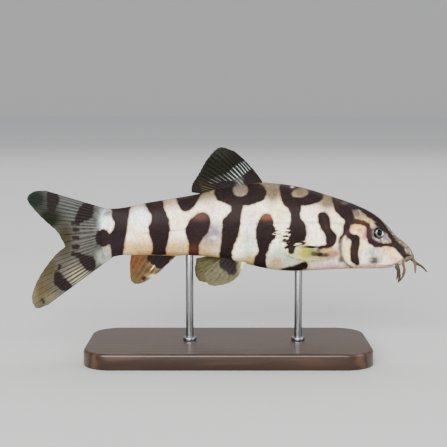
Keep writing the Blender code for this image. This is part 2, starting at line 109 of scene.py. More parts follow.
def section(back):
    """Top, low, widest level and half width of the flesh at distances back from the snout."""
    nose = np.minimum(1.0, back / NOSE_ROUND)
    tail = np.minimum(1.0, (FLESH_LENGTH - back) / TAIL_ROUND)
    keep = np.sqrt(np.maximum(0, 1 - (1 - nose) ** 2)) * np.sqrt(np.maximum(0, 1 - (1 - tail) ** 2))
    top, low = back_height(back), belly_height(back)
    middle = (top + low) / 2
    top, low = middle + (top - middle) * keep, middle + (low - middle) * keep
    level = low + (top - low) * widest_level(back)
    return top, low, level, half_width(back) * keep


def flank(back, height):
    """How far out the flesh is at a height."""
    top, low, level, width = section(np.asarray(back, float))
    above = height >= level
    power = np.where(above, back_boxiness(back), belly_boxiness(back))
    share = np.abs(height - level) / np.where(above, top - level, level - low)
    return width * np.maximum(0, 1 - np.minimum(1, share) ** power) ** (1 / power)


def flank_frame(back, height, side):
    """A point on one flank in millimetres, and the way that the skin faces there."""
    step = 0.4
    out = float(flank(back, height))
    along = float(flank(back + step, height) - flank(back - step, height)) / (2 * step)
    up = float(flank(back, height + step) - flank(back, height - step)) / (2 * step)
    facing = np.array([along, side, -up])
    return np.array([SNOUT_X - back, side * out, BELLY_Z + height]), facing / np.linalg.norm(facing)


def hump(distance, width):
    """A smooth bump of height 1 where the distance is 0."""
    return np.exp(-((distance / width) ** 2))


def step_up(value, start, end):
    """0 before start, 1 after end, smooth between them."""
    t = np.clip((value - start) / (end - start), 0, 1)
    return t * t * (3 - 2 * t)


def step_down(value, start, end):
    """1 before start, 0 after end, smooth between them."""
    return step_up(-value, -end, -start)


def named(name):
    """The piece that was just made, under its name."""
    piece = bpy.context.object
    piece.name = piece.data.name = name
    return piece


def ball(name, segments, rings):
    """A new ball with its points as an array, its poles on Z."""
    bpy.ops.object.select_all(action="DESELECT")
    bpy.ops.mesh.primitive_uv_sphere_add(segments=segments, ring_count=rings, radius=1)
    piece = named(name)
    return piece, points_of(piece)


def points_of(piece, field="co"):
    """A piece's points, or with the field normal the way that it faces at each of them."""
    values = np.empty(len(piece.data.vertices) * 3)
    piece.data.vertices.foreach_get(field, values)
    return values.reshape(-1, 3)


def set_points(piece, points):
    """Puts a piece's points, in millimetres, into its mesh, in metres."""
    piece.data.vertices.foreach_set("co", (points * MM).astype(np.float32).ravel())
    piece.data.update()


def line_distance(across, up, path):
    """The distance from places to a line through points of (across, up)."""
    nearest = np.full(np.shape(across), 1e6)
    for (x0, y0), (x1, y1) in zip(path[:-1], path[1:]):
        dx, dy = x1 - x0, y1 - y0
        t = np.clip(((across - x0) * dx + (up - y0) * dy) / (dx * dx + dy * dy), 0, 1)
        nearest = np.minimum(nearest, np.hypot(across - x0 - t * dx, up - y0 - t * dy))
    return nearest


skin, sphere = ball("skin", 280, 340)
ring = np.arccos(np.clip(sphere[:, 2], -1, 1)) / math.pi
skin_back = np.clip(smooth_curve(RING_SPREAD)(ring), 0, FLESH_LENGTH)
turn = np.arctan2(sphere[:, 1], sphere[:, 0])
top, low, level, width = section(skin_back)
cosine, sine = np.cos(turn), np.sin(turn)
power = 2 / np.where(sine >= 0, back_boxiness(skin_back), belly_boxiness(skin_back))
skin_side = width * np.sign(cosine) * np.abs(cosine) ** power
reach = np.where(sine >= 0, top - level, level - low)
skin_height = level + reach * np.sign(sine) * np.abs(sine) ** power
skin_points = np.stack([SNOUT_X - skin_back, skin_side, BELLY_Z + skin_height], 1)
set_points(skin, skin_points)
skin_facing = points_of(skin, "normal")

# Relief of the head: orbits, nostrils, gill covers, cheeks, lips and the mouth between them
GILL_OPENING = (
    (19.9, 15.8), (21.2, 14.2), (22.6, 12.4), (23.5, 10.4), (23.8, 8.2),
    (23.6, 6.0), (22.7, 4.0), (21.2, 2.3), (19.6, 1.3),
)
CHEEK_EDGE = ((16.2, 13.6), (16.9, 11.5), (17.0, 9.0), (16.3, 6.4), (14.6, 4.3), (12.2, 3.2), (9.4, 2.9))
SPINE_GROOVE = ((13.2, 9.3), (11.6, 8.6), (9.6, 8.5), (7.8, 8.9))
LIP_FOLD = ((8.6, 2.0), (7.0, 2.3), (5.7, 2.8), (4.8, 3.3))
LATERAL_LINE = (
    (21.5, 15.2), (27.0, 15.7), (36.0, 15.9), (48.0, 15.5), (60.0, 14.6), (72.0, 13.4), (84.0, 12.2),
    (96.0, 11.4),
)
# Two nostrils with the flap between them: distance back, height, rise and width of each
NOSTRILS = ((6.1, 9.75, -0.5, 0.26), (7.2, 10.75, -0.55, 0.3), (6.62, 10.2, 0.3, 0.22))
NOSTRIL_RIM = (6.65, 10.25)
# Round each eye: the radius of a raised rim and of a furrow outside it, and where the eyeball's hollow ends
ORBIT_RIM = 2.35
ORBIT_FURROW = 2.95
ORBIT_HOLLOW = (1.56, 1.86)


def from_spot(back, height, hand):
    """How far each of the skin's points is from a place on one flank."""
    return np.linalg.norm(skin_points - flank_frame(back, height, hand)[0], axis=1)


relief = np.zeros(len(skin_points))
near_eye = np.zeros(len(skin_points))
sideways = np.abs(skin_side)
for hand in (1, -1):
    here = np.where(hand * skin_side > 0, 1.0, 0.0)
    eye, eye_facing = flank_frame(*EYE_PLACE, hand)
    away = skin_points - eye
    from_eye = np.linalg.norm(away - np.outer(away @ eye_facing, eye_facing), axis=1) + 9 * (1 - here)
    relief += 0.15 * hump(from_eye - ORBIT_RIM, 0.3) - 0.10 * hump(from_eye - ORBIT_FURROW, 0.3)
    relief -= 1.0 * step_down(from_eye, *ORBIT_HOLLOW)
    near_eye = np.maximum(near_eye, hump(np.maximum(0, from_eye - 2.0), 0.5))
    for back, height, rise, size in NOSTRILS:
        relief += rise * hump(from_spot(back, height, hand), size)
    relief += 0.12 * hump(from_spot(*NOSTRIL_RIM, hand) - 0.95, 0.22)
# The gill opening is a narrow groove, and the cover swells a little just ahead of it
from_gill = line_distance(skin_back, skin_height, GILL_OPENING)
behind_gill = step_up(skin_back, 19.0, 20.5)
relief -= 0.34 * hump(from_gill, 0.26) * behind_gill
gill_front = smooth_curve([(h, b) for b, h in reversed(GILL_OPENING)])(skin_height)
ahead = gill_front - skin_back
cover_edge = np.where((ahead > 0) & (skin_height < 15.5), hump(ahead - 0.7, 0.9), 0)
relief += 0.20 * cover_edge * step_up(skin_height, 1.5, 3.5)
relief -= 0.12 * hump(line_distance(skin_back, skin_height, CHEEK_EDGE), 0.35)
relief += 0.10 * hump(np.hypot((skin_back - 13.0) / 3.2, (skin_height - 6.2) / 2.6), 1.0)
relief -= 0.16 * hump(line_distance(skin_back, skin_height, SPINE_GROOVE), 0.22)
from_line = line_distance(skin_back, skin_height, LATERAL_LINE)
relief -= 0.05 * hump(from_line, 0.22) * (0.6 + 0.4 * np.cos(skin_back * 2 * math.pi / 0.9))
# Two fleshy lips on the underside of the snout, with the slit of the mouth between them
under = step_up(-skin_facing[:, 2], -0.1, 0.45)
in_mouth = step_down(sideways, 2.5, 3.3) * under
upper_lip = 2.2 + 3.1 * (sideways / 2.6) ** 2
lower_lip = 4.1 + 1.9 * (sideways / 2.3) ** 2
slit = (upper_lip + lower_lip) / 2
wrinkle = 1 + 0.12 * np.cos(skin_side * 9) * np.cos(skin_back * 7)
relief += 0.42 * hump(skin_back - upper_lip + 0.1, 0.52) * in_mouth * wrinkle
relief += 0.36 * hump(skin_back - lower_lip - 0.1, 0.5) * in_mouth * wrinkle
relief -= 0.55 * hump(skin_back - slit, 0.24) * in_mouth
relief -= 0.15 * hump(skin_back - lower_lip - 1.2, 0.4) * in_mouth
from_fold = line_distance(skin_back, skin_height, LIP_FOLD)
relief -= 0.14 * hump(from_fold, 0.2)

# Relief of the body: muscle blocks, sheaths along the back and anal fins, swellings at the paired fins
MUSCLE_SPACING = 2.5
# Swellings where the paired fins sprout: distance back, height, how flat, rise and width of each
FIN_SWELLINGS = ((24.9, 5.0, 0.8, 0.28, 1.5), (55.5, 4.0, 0.9, 0.22, 1.8))
half_deep = (skin_height - (top + low) / 2) / np.maximum(0.5, (top - low) / 2)
folded = skin_back - 3.4 * np.abs(half_deep - 0.1) + 1.2 * np.abs(half_deep - 0.55)
muscle = np.cos(folded * 2 * math.pi / MUSCLE_SPACING)
relief += 0.022 * muscle * step_up(skin_back, 24.0, 30.0) * step_down(np.abs(half_deep), 0.7, 0.95)
back_sheath = 0.30 * hump(skin_side, 1.0) * (skin_height > level)
relief += back_sheath * step_up(skin_back, 44.5, 47.5) * step_down(skin_back, 62.0, 65.0)
belly_sheath = 0.25 * hump(skin_side, 0.9) * (skin_height < level)
relief += belly_sheath * step_up(skin_back, 72.0, 74.0) * step_down(skin_back, 88.0, 90.0)
for x, y, flat, rise, size in FIN_SWELLINGS:
    relief += rise * hump(np.hypot(skin_back - x, (skin_height - y) * flat), size)
skin_points += skin_facing * relief[:, None]
set_points(skin, skin_points)

# Bars and spots, each a line of (back, height, half thickness) as seen from the fish's side
BARS = (
    ((91.3, 20.4, 3.1), (91.4, 17.2, 2.5), (91.2, 14.8, 1.9), (91.4, 12.8, 1.9), (92.1, 11.2, 2.3),
     (92.4, 9.4, 2.2), (92.4, 7.5, 2.0), (92.5, 5.3, 1.6), (92.9, 3.7, 1.0)),
    ((96.9, 10.7, 2.3), (96.9, 9.8, 2.3)),
    ((95.9, 10.0, 1.1), (93.8, 10.0, 1.3)),
    ((81.4, 22.7, 2.9), (80.5, 19.9, 2.4), (79.4, 17.5, 2.1), (79.1, 15.5, 2.6), (79.4, 13.1, 3.2),
     (79.2, 10.8, 2.8), (79.2, 8.7, 2.1), (79.4, 6.4, 1.9), (79.5, 4.0, 2.6)),
    ((70.1, 24.9, 3.9), (70.8, 22.1, 3.0), (71.1, 20.2, 1.8)),
    ((66.1, 15.6, 2.7), (67.2, 13.8, 3.3), (68.2, 12.2, 3.0), (68.4, 10.3, 2.1), (68.6, 7.8, 1.45),
     (68.6, 4.0, 1.5)),
    ((59.2, 24.4, 3.0), (56.8, 23.9, 3.3), (51.8, 23.9, 3.4), (49.0, 24.3, 2.9)),
    ((54.9, 21.1, 1.9), (55.2, 19.3, 1.6), (55.5, 17.8, 1.5), (56.3, 16.3, 2.2), (57.0, 14.6, 2.7),
     (57.2, 12.3, 2.5), (57.7, 10.0, 2.2), (58.3, 8.0, 1.9), (58.7, 5.4, 1.8), (58.6, 2.8, 2.2)),
    ((46.1, 15.9, 2.0), (46.3, 14.6, 2.3), (46.6, 12.6, 2.6), (46.8, 10.6, 2.4), (47.0, 8.6, 1.9),
     (47.0, 7.0, 1.4), (47.4, 5.4, 1.2), (48.0, 3.6, 1.6), (48.1, 1.2, 2.1)),
    ((39.0, 25.8, 3.0), (38.4, 22.7, 2.9), (37.3, 19.7, 1.9), (37.2, 17.8, 1.3), (36.8, 15.7, 1.5),
     (36.4, 13.7, 2.4), (36.2, 11.7, 2.6), (36.6, 10.3, 2.2), (38.3, 7.9, 1.5), (38.3, 6.2, 1.1)),
    ((36.9, 23.3, 2.8), (33.7, 23.0, 2.6), (30.5, 23.3, 2.0)),
    ((34.4, 1.7, 1.15), (36.2, 1.0, 0.95), (38.8, 0.5, 0.7), (41.4, 0.3, 0.4)),
    ((28.5, 16.9, 1.6), (28.1, 15.6, 1.7), (27.8, 14.0, 1.4), (26.8, 12.1, 1.2), (25.9, 10.6, 1.6),
     (26.0, 9.4, 1.5), (26.2, 8.4, 0.9)),
    ((26.9, 7.8, 0.6), (29.4, 7.3, 0.4)),
)
HEAD_BARS = (
    ((22.9, 22.4, 2.7), (22.4, 19.9, 2.4), (21.3, 18.0, 1.9), (20.3, 16.5, 1.3)),
    ((21.6, 21.5, 1.9), (18.8, 20.7, 1.4), (16.6, 20.1, 1.0), (15.1, 18.9, 1.0), (13.7, 17.7, 1.0),
     (12.2, 16.4, 0.8), (10.8, 15.1, 0.7), (9.2, 13.5, 0.6), (8.3, 12.3, 0.5), (7.3, 11.0, 0.7),
     (6.2, 9.3, 0.9), (5.3, 7.9, 1.0), (4.3, 6.7, 1.0), (3.5, 5.4, 0.8), (3.0, 4.4, 0.5)),
    ((20.3, 16.5, 1.3), (19.3, 15.5, 0.8), (17.6, 15.3, 0.7), (16.0, 15.0, 0.6), (14.6, 14.3, 0.6),
     (14.1, 12.4, 0.7), (14.2, 10.9, 0.7), (13.6, 9.3, 0.8), (12.1, 8.3, 0.8), (10.6, 8.1, 0.6),
     (8.9, 8.2, 0.3), (7.5, 8.1, 0.4), (6.2, 8.0, 0.6)),
    ((20.7, 15.4, 0.9), (21.2, 13.7, 0.9), (21.2, 12.3, 0.8), (20.2, 11.1, 0.7), (18.8, 10.1, 1.1)),
    ((12.3, 14.8, 0.3), (11.3, 14.5, 0.5), (10.0, 13.6, 0.5), (9.2, 12.6, 0.5)),
    ((21.6, 12.0, 0.4), (22.9, 10.4, 0.2), (23.5, 9.0, 0.1)),
    ((18.3, 10.0, 1.3), (18.4, 8.4, 1.2), (18.7, 6.8, 1.2), (18.8, 5.3, 1.1), (18.6, 3.7, 1.2),
     (17.9, 2.6, 0.8)),
)
# How deep a place far outside every mark counts as being inside one
OUTSIDE = -9.0
# Pale spots inside the saddles: middle, half length, half height and tilt
PALE_SPOTS = ((54.2, 25.3, 2.4, 2.2, 0.0), (35.6, 24.4, 2.75, 1.5, -0.17))

# The side view that the marks are drawn on looks very slightly down, from a third of a metre
VIEW_MIDDLE = np.array([-1.5, 0.0, 41.8])
VIEW_DROP = math.radians(6)
VIEW_REACH = 328.0


def seen(points):
    """Distance back and height of points as they show from the fish's side, the same for both sides."""
    x, y, z = points[:, 0], -np.abs(points[:, 1]), points[:, 2]
    across, rise = x - VIEW_MIDDLE[0], z - VIEW_MIDDLE[2]
    depth = VIEW_REACH + y * math.cos(VIEW_DROP) - rise * math.sin(VIEW_DROP)
    up = (rise * math.cos(VIEW_DROP) + y * math.sin(VIEW_DROP)) * VIEW_REACH / depth
    across = across * VIEW_REACH / depth
    return SNOUT_X - VIEW_MIDDLE[0] - across, VIEW_MIDDLE[2] + up - BELLY_Z


def strokes(back, height, lines):
    """How deep inside the nearest of the drawn lines each place is, in millimetres, below 0 outside."""
    deepest = np.full(np.shape(back), OUTSIDE)
    for line in lines:
        for (x0, y0, r0), (x1, y1, r1) in zip(line[:-1], line[1:]):
            dx, dy = x1 - x0, y1 - y0
            t = np.clip(((back - x0) * dx + (height - y0) * dy) / (dx * dx + dy * dy), 0, 1)
            inside = r0 + t * (r1 - r0) - np.hypot(back - x0 - t * dx, height - y0 - t * dy)
            near = np.clip(0.5 + 0.5 * (inside - deepest) / 0.7, 0, 1)
            deepest = deepest + (inside - deepest) * near + 0.7 * near * (1 - near)
    return deepest


def ovals(back, height, spots):
    """How deep inside the nearest oval each place is."""
    deepest = np.full(np.shape(back), OUTSIDE)
    for x, y, long, tall, tilt in spots:
        dx, dy = back - x, height - y
        along, up = dx * math.cos(tilt) + dy * math.sin(tilt), dy * math.cos(tilt) - dx * math.sin(tilt)
        deepest = np.maximum(deepest, (1 - np.hypot(along / long, up / tall)) * min(long, tall))
    return deepest


def paint(red, green, blue):
    """The paint that shows as about this 0 to 255 colour under these lamps.

    Dark and middle tones take a quarter to a third of their plain value, and white takes all of it.
    """
    shares = (red / 255, green / 255, blue / 255)
    light = np.array([c / 12.92 if c <= 0.04045 else ((c + 0.055) / 1.055) ** 2.4 for c in shares])
    mean = light.mean()
    rich = mean + (light - mean) * (0.95 + 1.4 * float(step_up(mean, 0.15, 0.7)))
    strength = 0.25 + 0.12 * math.exp(-mean / 0.05) + 0.75 * float(step_up(mean, 0.28, 0.86))
    return np.clip(rich * strength, 0.002, 0.92)


# The power that makes mixed paints look evenly stepped
EVEN_STEPS = 0.42


def tinted(colours, amount, tint):
    """Colours blended towards a tint, in even steps to the eye."""
    amount = np.clip(amount, 0, 1)[:, None]
    return (colours ** EVEN_STEPS * (1 - amount) + tint ** EVEN_STEPS * amount) ** (1 / EVEN_STEPS)


def patch(back, height, x, y, long, tall):
    """How strong a soft oval patch of colour is."""
    return np.minimum(1, 1.35 * np.exp(-(((back - x) / long) ** 2) - ((height - y) / tall) ** 2))


def tinted_patches(colours, back, height, patches):
    """Colours after soft oval patches: middle, half length, half height, strength and colour of each."""
    for x, y, long, tall, strength, colour in patches:
        colours = tinted(colours, strength * patch(back, height, x, y, long, tall), paint(*colour))
    return colours


def add_value(piece, name, values):
    layer = piece.data.attributes.new(name, "FLOAT", "POINT")
    layer.data.foreach_set("value", np.asarray(values, np.float32))


def add_colour(piece, name, colours):
    layer = piece.data.attributes.new(name, "FLOAT_COLOR", "POINT")
    full = np.concatenate([np.clip(colours, 0, 1), np.ones((len(colours), 1))], 1)
    layer.data.foreach_set("color", full.astype(np.float32).ravel())


def name_bake_map(piece):
    piece.data.uv_layers[0].name = "OFBake"


back, height = seen(skin_points)
far_side = step_up(skin_points[:, 1], 0.5, 4.0)
back = back + far_side * 0.7 * np.sin(height / 4.1 + back / 6.3)
height = height + far_side * 0.5 * np.sin(back / 3.7 + 1.0)
marks = np.maximum(strokes(back, height, BARS), strokes(back, height, HEAD_BARS))
marks = np.minimum(marks, -ovals(back, height, PALE_SPOTS))
below = step_up(-skin_facing[:, 2], 0.90, 0.985) * step_up(skin_back, 2.0, 6.0)
marks = marks - below * step_down(skin_back, 80.0, 86.0) * 3.0
from_midline = np.abs(skin_points[:, 1])
snout_line = 2.3 - 1.4 * step_up(skin_back, 8.0, 13.0) + 2.5 * step_down(skin_back, 1.6, 3.0) - from_midline
snout_line = np.where(skin_height > level, snout_line, OUTSIDE) - 3 * step_up(skin_back, 12.0, 14.5)
head_cap = np.where(skin_height > level, 2.6 - from_midline, OUTSIDE)
head_cap = head_cap - 6 * step_up(skin_back, 17.0, 19.0) - 6 * step_down(skin_back, 2.2, 3.4)
marks = np.where(skin_back < 20, np.maximum(marks, np.minimum(head_cap, 1.2)), marks)
marks = np.minimum(marks, -snout_line)
on_midline = step_up(snout_line, -0.3, 0.2)
# A painted shade line along the underside edge of the snout, where the arch of the outer feelers parts from
# it
SNOUT_EDGE_SHADE = ((3.5, 4.7, 0.35), (2.6, 4.9, 0.28), (0.9, 4.65, 0.2))
marks = np.maximum(marks, strokes(back, height, (SNOUT_EDGE_SHADE,)))
add_value(skin, "marks", np.clip(marks + 0.12, -4, 4))

share = (skin_height - low) / np.maximum(0.5, top - low)
pale = np.tile(paint(246, 240, 230), (len(skin_points), 1))
for amount, colour in (
    (0.9 * step_up(share, 0.76, 0.98), (168, 152, 122)),
    (0.85 * step_down(share, 0.14, 0.42) * step_up(skin_back, 56.0, 66.0), (214, 192, 158)),
    (0.5 * step_down(share, 0.02, 0.12), (206, 182, 156)),
):
    pale = tinted(pale, amount, paint(*colour))
# Where the front fin meets the body, seen from the side: cream, olive and maroon, and a black slit along the
# fin's upper edge that is painted shadow between the fin and the body
PECTORAL_FOOT_AND_SLIT_SHADOW = (
    (27.6, 7.0, 1.8, 0.8, 0.9, (206, 188, 146)), (25.8, 6.9, 1.0, 0.8, 0.9, (216, 198, 166)),
    (29.8, 6.5, 0.9, 0.7, 0.9, (140, 130, 108)), (31.9, 6.4, 1.2, 0.6, 0.8, (184, 176, 134)),
    (31.3, 5.4, 1.1, 0.7, 0.9, (104, 97, 66)), (29.3, 5.2, 1.2, 0.7, 1.0, (70, 48, 42)),
    (27.6, 5.0, 1.1, 0.6, 0.9, (108, 76, 66)), (25.0, 5.4, 1.4, 1.1, 0.9, (200, 164, 154)),
    # Painted shadow: the black slit between the fin's upper edge and the body
    (32.0, 7.5, 2.4, 0.34, 1.0, (40, 33, 26)), (28.8, 7.5, 0.9, 0.3, 0.8, (92, 78, 58)),
)
pale = tinted_patches(pale, back, height, (
    (96.2, 15.0, 3.6, 3.6, 0.9, (236, 244, 250)), (96.6, 5.4, 2.7, 3.2, 1.0, (184, 190, 184)),
    (96.6, 18.4, 2.6, 1.4, 0.8, (166, 168, 156)), (85.5, 16.5, 3.4, 3.4, 0.8, (240, 240, 248)),
    (85.0, 11.0, 3.0, 2.2, 0.5, (242, 226, 218)), (74.5, 14.5, 2.6, 2.6, 0.5, (250, 232, 216)),
    (75.0, 20.0, 2.4, 2.4, 0.5, (222, 214, 206)), (63.3, 11.7, 3.3, 3.1, 0.85, (168, 163, 178)),
    (62.4, 10.4, 1.3, 0.7, 0.8, (222, 218, 224)), (64.6, 12.8, 1.0, 0.6, 0.6, (206, 202, 210)),
    (62.4, 19.5, 3.0, 1.6, 0.6, (226, 210, 206)), (41.0, 4.3, 5.0, 3.2, 0.8, (198, 214, 208)),
    (51.6, 9.0, 1.9, 3.6, 0.75, (206, 218, 208)), (51.2, 3.2, 2.4, 1.8, 0.8, (204, 190, 146)),
    (44.2, 24.6, 2.3, 3.2, 0.9, (158, 142, 112)), (50.4, 15.0, 1.6, 5.0, 0.45, (226, 220, 232)),
    (43.0, 18.8, 2.4, 2.6, 0.4, (250, 240, 206)), (27.2, 21.6, 2.2, 2.2, 0.9, (172, 156, 130)),
    (31.6, 18.6, 2.4, 1.6, 0.5, (234, 214, 216)), (43.2, 2.6, 2.0, 1.6, 0.75, (216, 184, 160)),
    (33.6, 4.4, 2.2, 1.8, 0.7, (214, 216, 172)), (31.0, 11.0, 1.8, 3.0, 0.4, (246, 246, 232)),
    (24.6, 12.6, 1.4, 2.2, 0.55, (222, 220, 206)), (24.2, 17.2, 2.0, 1.8, 0.45, (240, 222, 214)),
    (27.8, 2.2, 4.0, 1.3, 0.6, (226, 206, 214)), (54.2, 25.2, 2.4, 2.2, 0.9, (170, 154, 148)),
    (35.6, 24.4, 1.5, 1.1, 0.8, (160, 140, 112)), (18.2, 18.0, 2.2, 1.9, 0.95, (160, 155, 135)),
    (15.5, 16.5, 1.5, 1.1, 0.8, (200, 186, 146)), (13.7, 15.3, 1.4, 1.0, 0.8, (212, 194, 152)),
    (12.3, 14.6, 0.9, 0.9, 0.8, (206, 186, 180)), (17.4, 13.3, 3.4, 1.5, 0.95, (232, 208, 180)),
    (17.4, 12.8, 1.1, 0.35, 0.5, (206, 166, 136)), (15.6, 10.9, 1.1, 1.5, 0.85, (204, 158, 152)),
    (8.3, 10.3, 1.8, 1.7, 0.9, (178, 158, 170)), (12.4, 9.4, 2.4, 0.8, 0.8, (184, 164, 178)),
    (13.2, 12.0, 0.6, 1.8, 0.85, (138, 122, 130)), (16.0, 7.6, 1.0, 2.2, 0.55, (236, 222, 190)),
    (13.3, 6.0, 1.3, 1.4, 0.85, (176, 190, 176)), (10.2, 5.6, 1.6, 1.6, 0.7, (198, 196, 198)),
    (7.4, 6.4, 2.4, 1.7, 0.75, (232, 212, 184)), (6.0, 3.8, 1.8, 1.2, 0.6, (224, 190, 172)),
    (20.9, 7.0, 1.2, 2.8, 0.7, (228, 220, 184)), (16.4, 5.0, 1.6, 2.2, 0.5, (222, 212, 216)),
    (20.6, 10.4, 0.8, 0.9, 0.8, (200, 150, 148)), (12.6, 3.3, 1.5, 1.2, 0.9, (96, 88, 76)),
    (22.9, 3.6, 0.9, 0.9, 0.8, (104, 88, 78)), (23.2, 8.0, 0.8, 2.4, 0.7, (176, 160, 138)),
    (26.4, 5.2, 1.8, 1.5, 0.8, (196, 148, 142)), (12.0, 1.6, 8.0, 0.7, 0.6, (206, 182, 176)),
) + PECTORAL_FOOT_AND_SLIT_SHADOW)
snout = step_down(skin_back, 1.2, 4.2)
for amount, colour in (
    (0.8 * snout, (160, 146, 112)),
    (0.9 * on_midline, (170, 165, 142)),
    (0.7 * snout * step_down(skin_height, 3.6, 4.6), (158, 134, 98)),
    (0.5 * in_mouth * step_down(skin_back, 5.0, 7.0), (190, 158, 138)),
    (0.75 * near_eye, (146, 130, 134)),
    # Painted shade along the gill opening: a broad grey-brown band behind it and a dark line in its groove
    (0.45 * hump(from_gill, 0.8) * behind_gill, (150, 132, 120)),
    (0.5 * hump(from_gill, 0.3) * behind_gill, (96, 76, 70)),
    # Painted shade in the fold behind the lips
    (0.55 * hump(from_fold, 0.25), (130, 98, 90)),
    (0.25 * hump(from_line, 0.28) * step_down(skin_back, 80.0, 88.0), (150, 136, 116)),
    # Painted shade in the groove of the spine below the eye
    (0.4 * hump(line_distance(skin_back, skin_height, SPINE_GROOVE), 0.3), (60, 40, 44)),
):
    pale = tinted(pale, amount, paint(*colour))
add_colour(skin, "pale", pale)

deep = np.tile(paint(44, 35, 34), (len(skin_points), 1))
deep = tinted_patches(deep, back, height, (
    (66.5, 17.2, 3.2, 1.5, 0.9, (104, 70, 60)), (68.6, 6.0, 2.0, 2.4, 0.9, (104, 64, 44)),
    (46.0, 17.0, 2.6, 1.3, 1.0, (168, 96, 58)), (27.6, 13.6, 1.6, 1.1, 0.7, (84, 52, 36)),
    (16.6, 15.3, 2.4, 0.9, 0.8, (88, 60, 36)), (14.2, 11.6, 1.2, 2.6, 0.8, (78, 50, 52)),
    (18.7, 6.8, 1.4, 2.4, 0.6, (72, 52, 44)), (18.6, 3.8, 1.4, 1.6, 0.6, (62, 54, 44)),
    (12.0, 8.4, 2.4, 1.0, 0.7, (58, 34, 40)), (92.8, 8.0, 2.0, 2.4, 0.5, (44, 38, 52)),
    (92.4, 4.4, 1.4, 1.2, 0.7, (78, 54, 38)), (24.0, 22.0, 0.8, 3.0, 0.6, (78, 62, 40)),
    (56.2, 17.4, 1.6, 2.0, 0.5, (62, 42, 36)), (37.2, 18.2, 1.6, 2.0, 0.5, (56, 40, 32)),
    (36.5, 11.5, 3.0, 5.0, 0.7, (36, 27, 22)), (55.6, 11.0, 3.0, 6.0, 0.6, (38, 29, 25)),
    (46.0, 9.0, 3.0, 5.0, 0.6, (38, 29, 26)), (20.6, 11.8, 1.0, 1.0, 0.7, (92, 60, 64)),
    # Painted highlights: a grey glint on the dark nape and a pale one on top of the back
    (21.8, 21.2, 1.1, 0.55, 0.9, (108, 108, 104)), (38.0, 26.2, 0.5, 0.35, 0.9, (190, 190, 186)),
    (3.6, 5.6, 1.2, 1.4, 0.6, (66, 50, 58)),
))
add_colour(skin, "deep", deep)
broken = np.maximum(patch(back, height, 41.5, 11.0, 2.6, 2.0), patch(back, height, 37.0, 7.2, 3.0, 2.0))
add_value(skin, "broken", broken)
shine = 0.25 + 0.75 * step_down(np.abs(half_deep), 0.5, 0.95) - 0.35 * snout
add_value(skin, "shine", np.clip(shine, 0, 1))


def new_material(name):
    """A new material with its nodes and links, on which the helpers below then work."""
    made = bpy.data.materials.new(name)
    made.use_nodes = True
    made.node_tree.nodes.clear()
    return made, made.node_tree.nodes, made.node_tree.links


def shader_out(roughness=0.3):
    shader = nodes.new("ShaderNodeBsdfPrincipled")
    shader.inputs["Roughness"].default_value = roughness
    output = nodes.new("ShaderNodeOutputMaterial")
    links.new(shader.outputs[0], output.inputs["Surface"])
    return shader


def object_place():
    return nodes.new("ShaderNodeTexCoord").outputs["Object"]


def attribute(name, output="Fac"):
    """What add_value or add_colour laid on a piece under this name."""
    made = nodes.new("ShaderNodeAttribute")
    made.attribute_name = name
    return made.outputs[output]


def plug(value, socket):
    """Links a node's output to a socket, or sets a plain value on it."""
    if isinstance(value, bpy.types.NodeSocket):
        links.new(value, socket)
    else:
        socket.default_value = value


def maths(operation, first, second):
    made = nodes.new("ShaderNodeMath")
    made.operation = operation
    plug(first, made.inputs[0])
    plug(second, made.inputs[1])
    return made.outputs[0]


def times(first, second):
    return maths("MULTIPLY", first, second)


def plus(first, second):
    return maths("ADD", first, second)


def swing(pattern, size):
    """A pattern of 0 to 1 as a swing about 0, by half of size to each side."""
    return times(maths("SUBTRACT", pattern, 0.5), size)


def length_of(vector):
    made = nodes.new("ShaderNodeVectorMath")
    made.operation = "LENGTH"
    links.new(vector, made.inputs[0])
    return made.outputs["Value"]


def blend_colour(factor, first, second, blend="MIX"):
    made = nodes.new("ShaderNodeMix")
    made.data_type = "RGBA"
    made.blend_type = blend
    for socket, value in zip((made.inputs[0], made.inputs[6], made.inputs[7]), (factor, first, second)):
        plug(value, socket)
    return made.outputs[2]


def spread(value, low_in, high_in, low_out=0.0, high_out=1.0, smooth=True):
    made = nodes.new("ShaderNodeMapRange")
    made.interpolation_type = "SMOOTHSTEP" if smooth else "LINEAR"
    links.new(value, made.inputs[0])
    for index, number in enumerate((low_in, high_in, low_out, high_out), 1):
        made.inputs[index].default_value = number
    return made.outputs[0]


def noise(place, scale, detail=3.0):
    made = nodes.new("ShaderNodeTexNoise")
    made.inputs["Scale"].default_value = scale
    made.inputs["Detail"].default_value = detail
    links.new(place, made.inputs["Vector"])
    return made.outputs["Fac"]


def stretched(place, scale):
    made = nodes.new("ShaderNodeMapping")
    made.inputs["Scale"].default_value = scale
    links.new(place, made.inputs["Vector"])
    return made.outputs[0]


def roughen(shader, height, strength, depth):
    """Fine relief from a pattern, its depth in metres."""
    made = nodes.new("ShaderNodeBump")
    made.inputs["Strength"].default_value = strength
    made.inputs["Distance"].default_value = depth
    links.new(height, made.inputs["Height"])
    links.new(made.outputs[0], shader.inputs["Normal"])


def varnish(shader, specular, coat, coat_roughness):
    """The gloss of a surface and of the wet film or varnish over it."""
    shader.inputs["Specular IOR Level"].default_value = specular
    shader.inputs["Coat Weight"].default_value = coat
    shader.inputs["Coat Roughness"].default_value = coat_roughness


def soften(shader, share, reach):
    """Lets light into flesh: the share that enters and how far its red, green and blue go, in metres."""
    shader.inputs["Subsurface Weight"].default_value = share
    shader.inputs["Subsurface Radius"].default_value = reach
    shader.inputs["Subsurface Scale"].default_value = 1.0


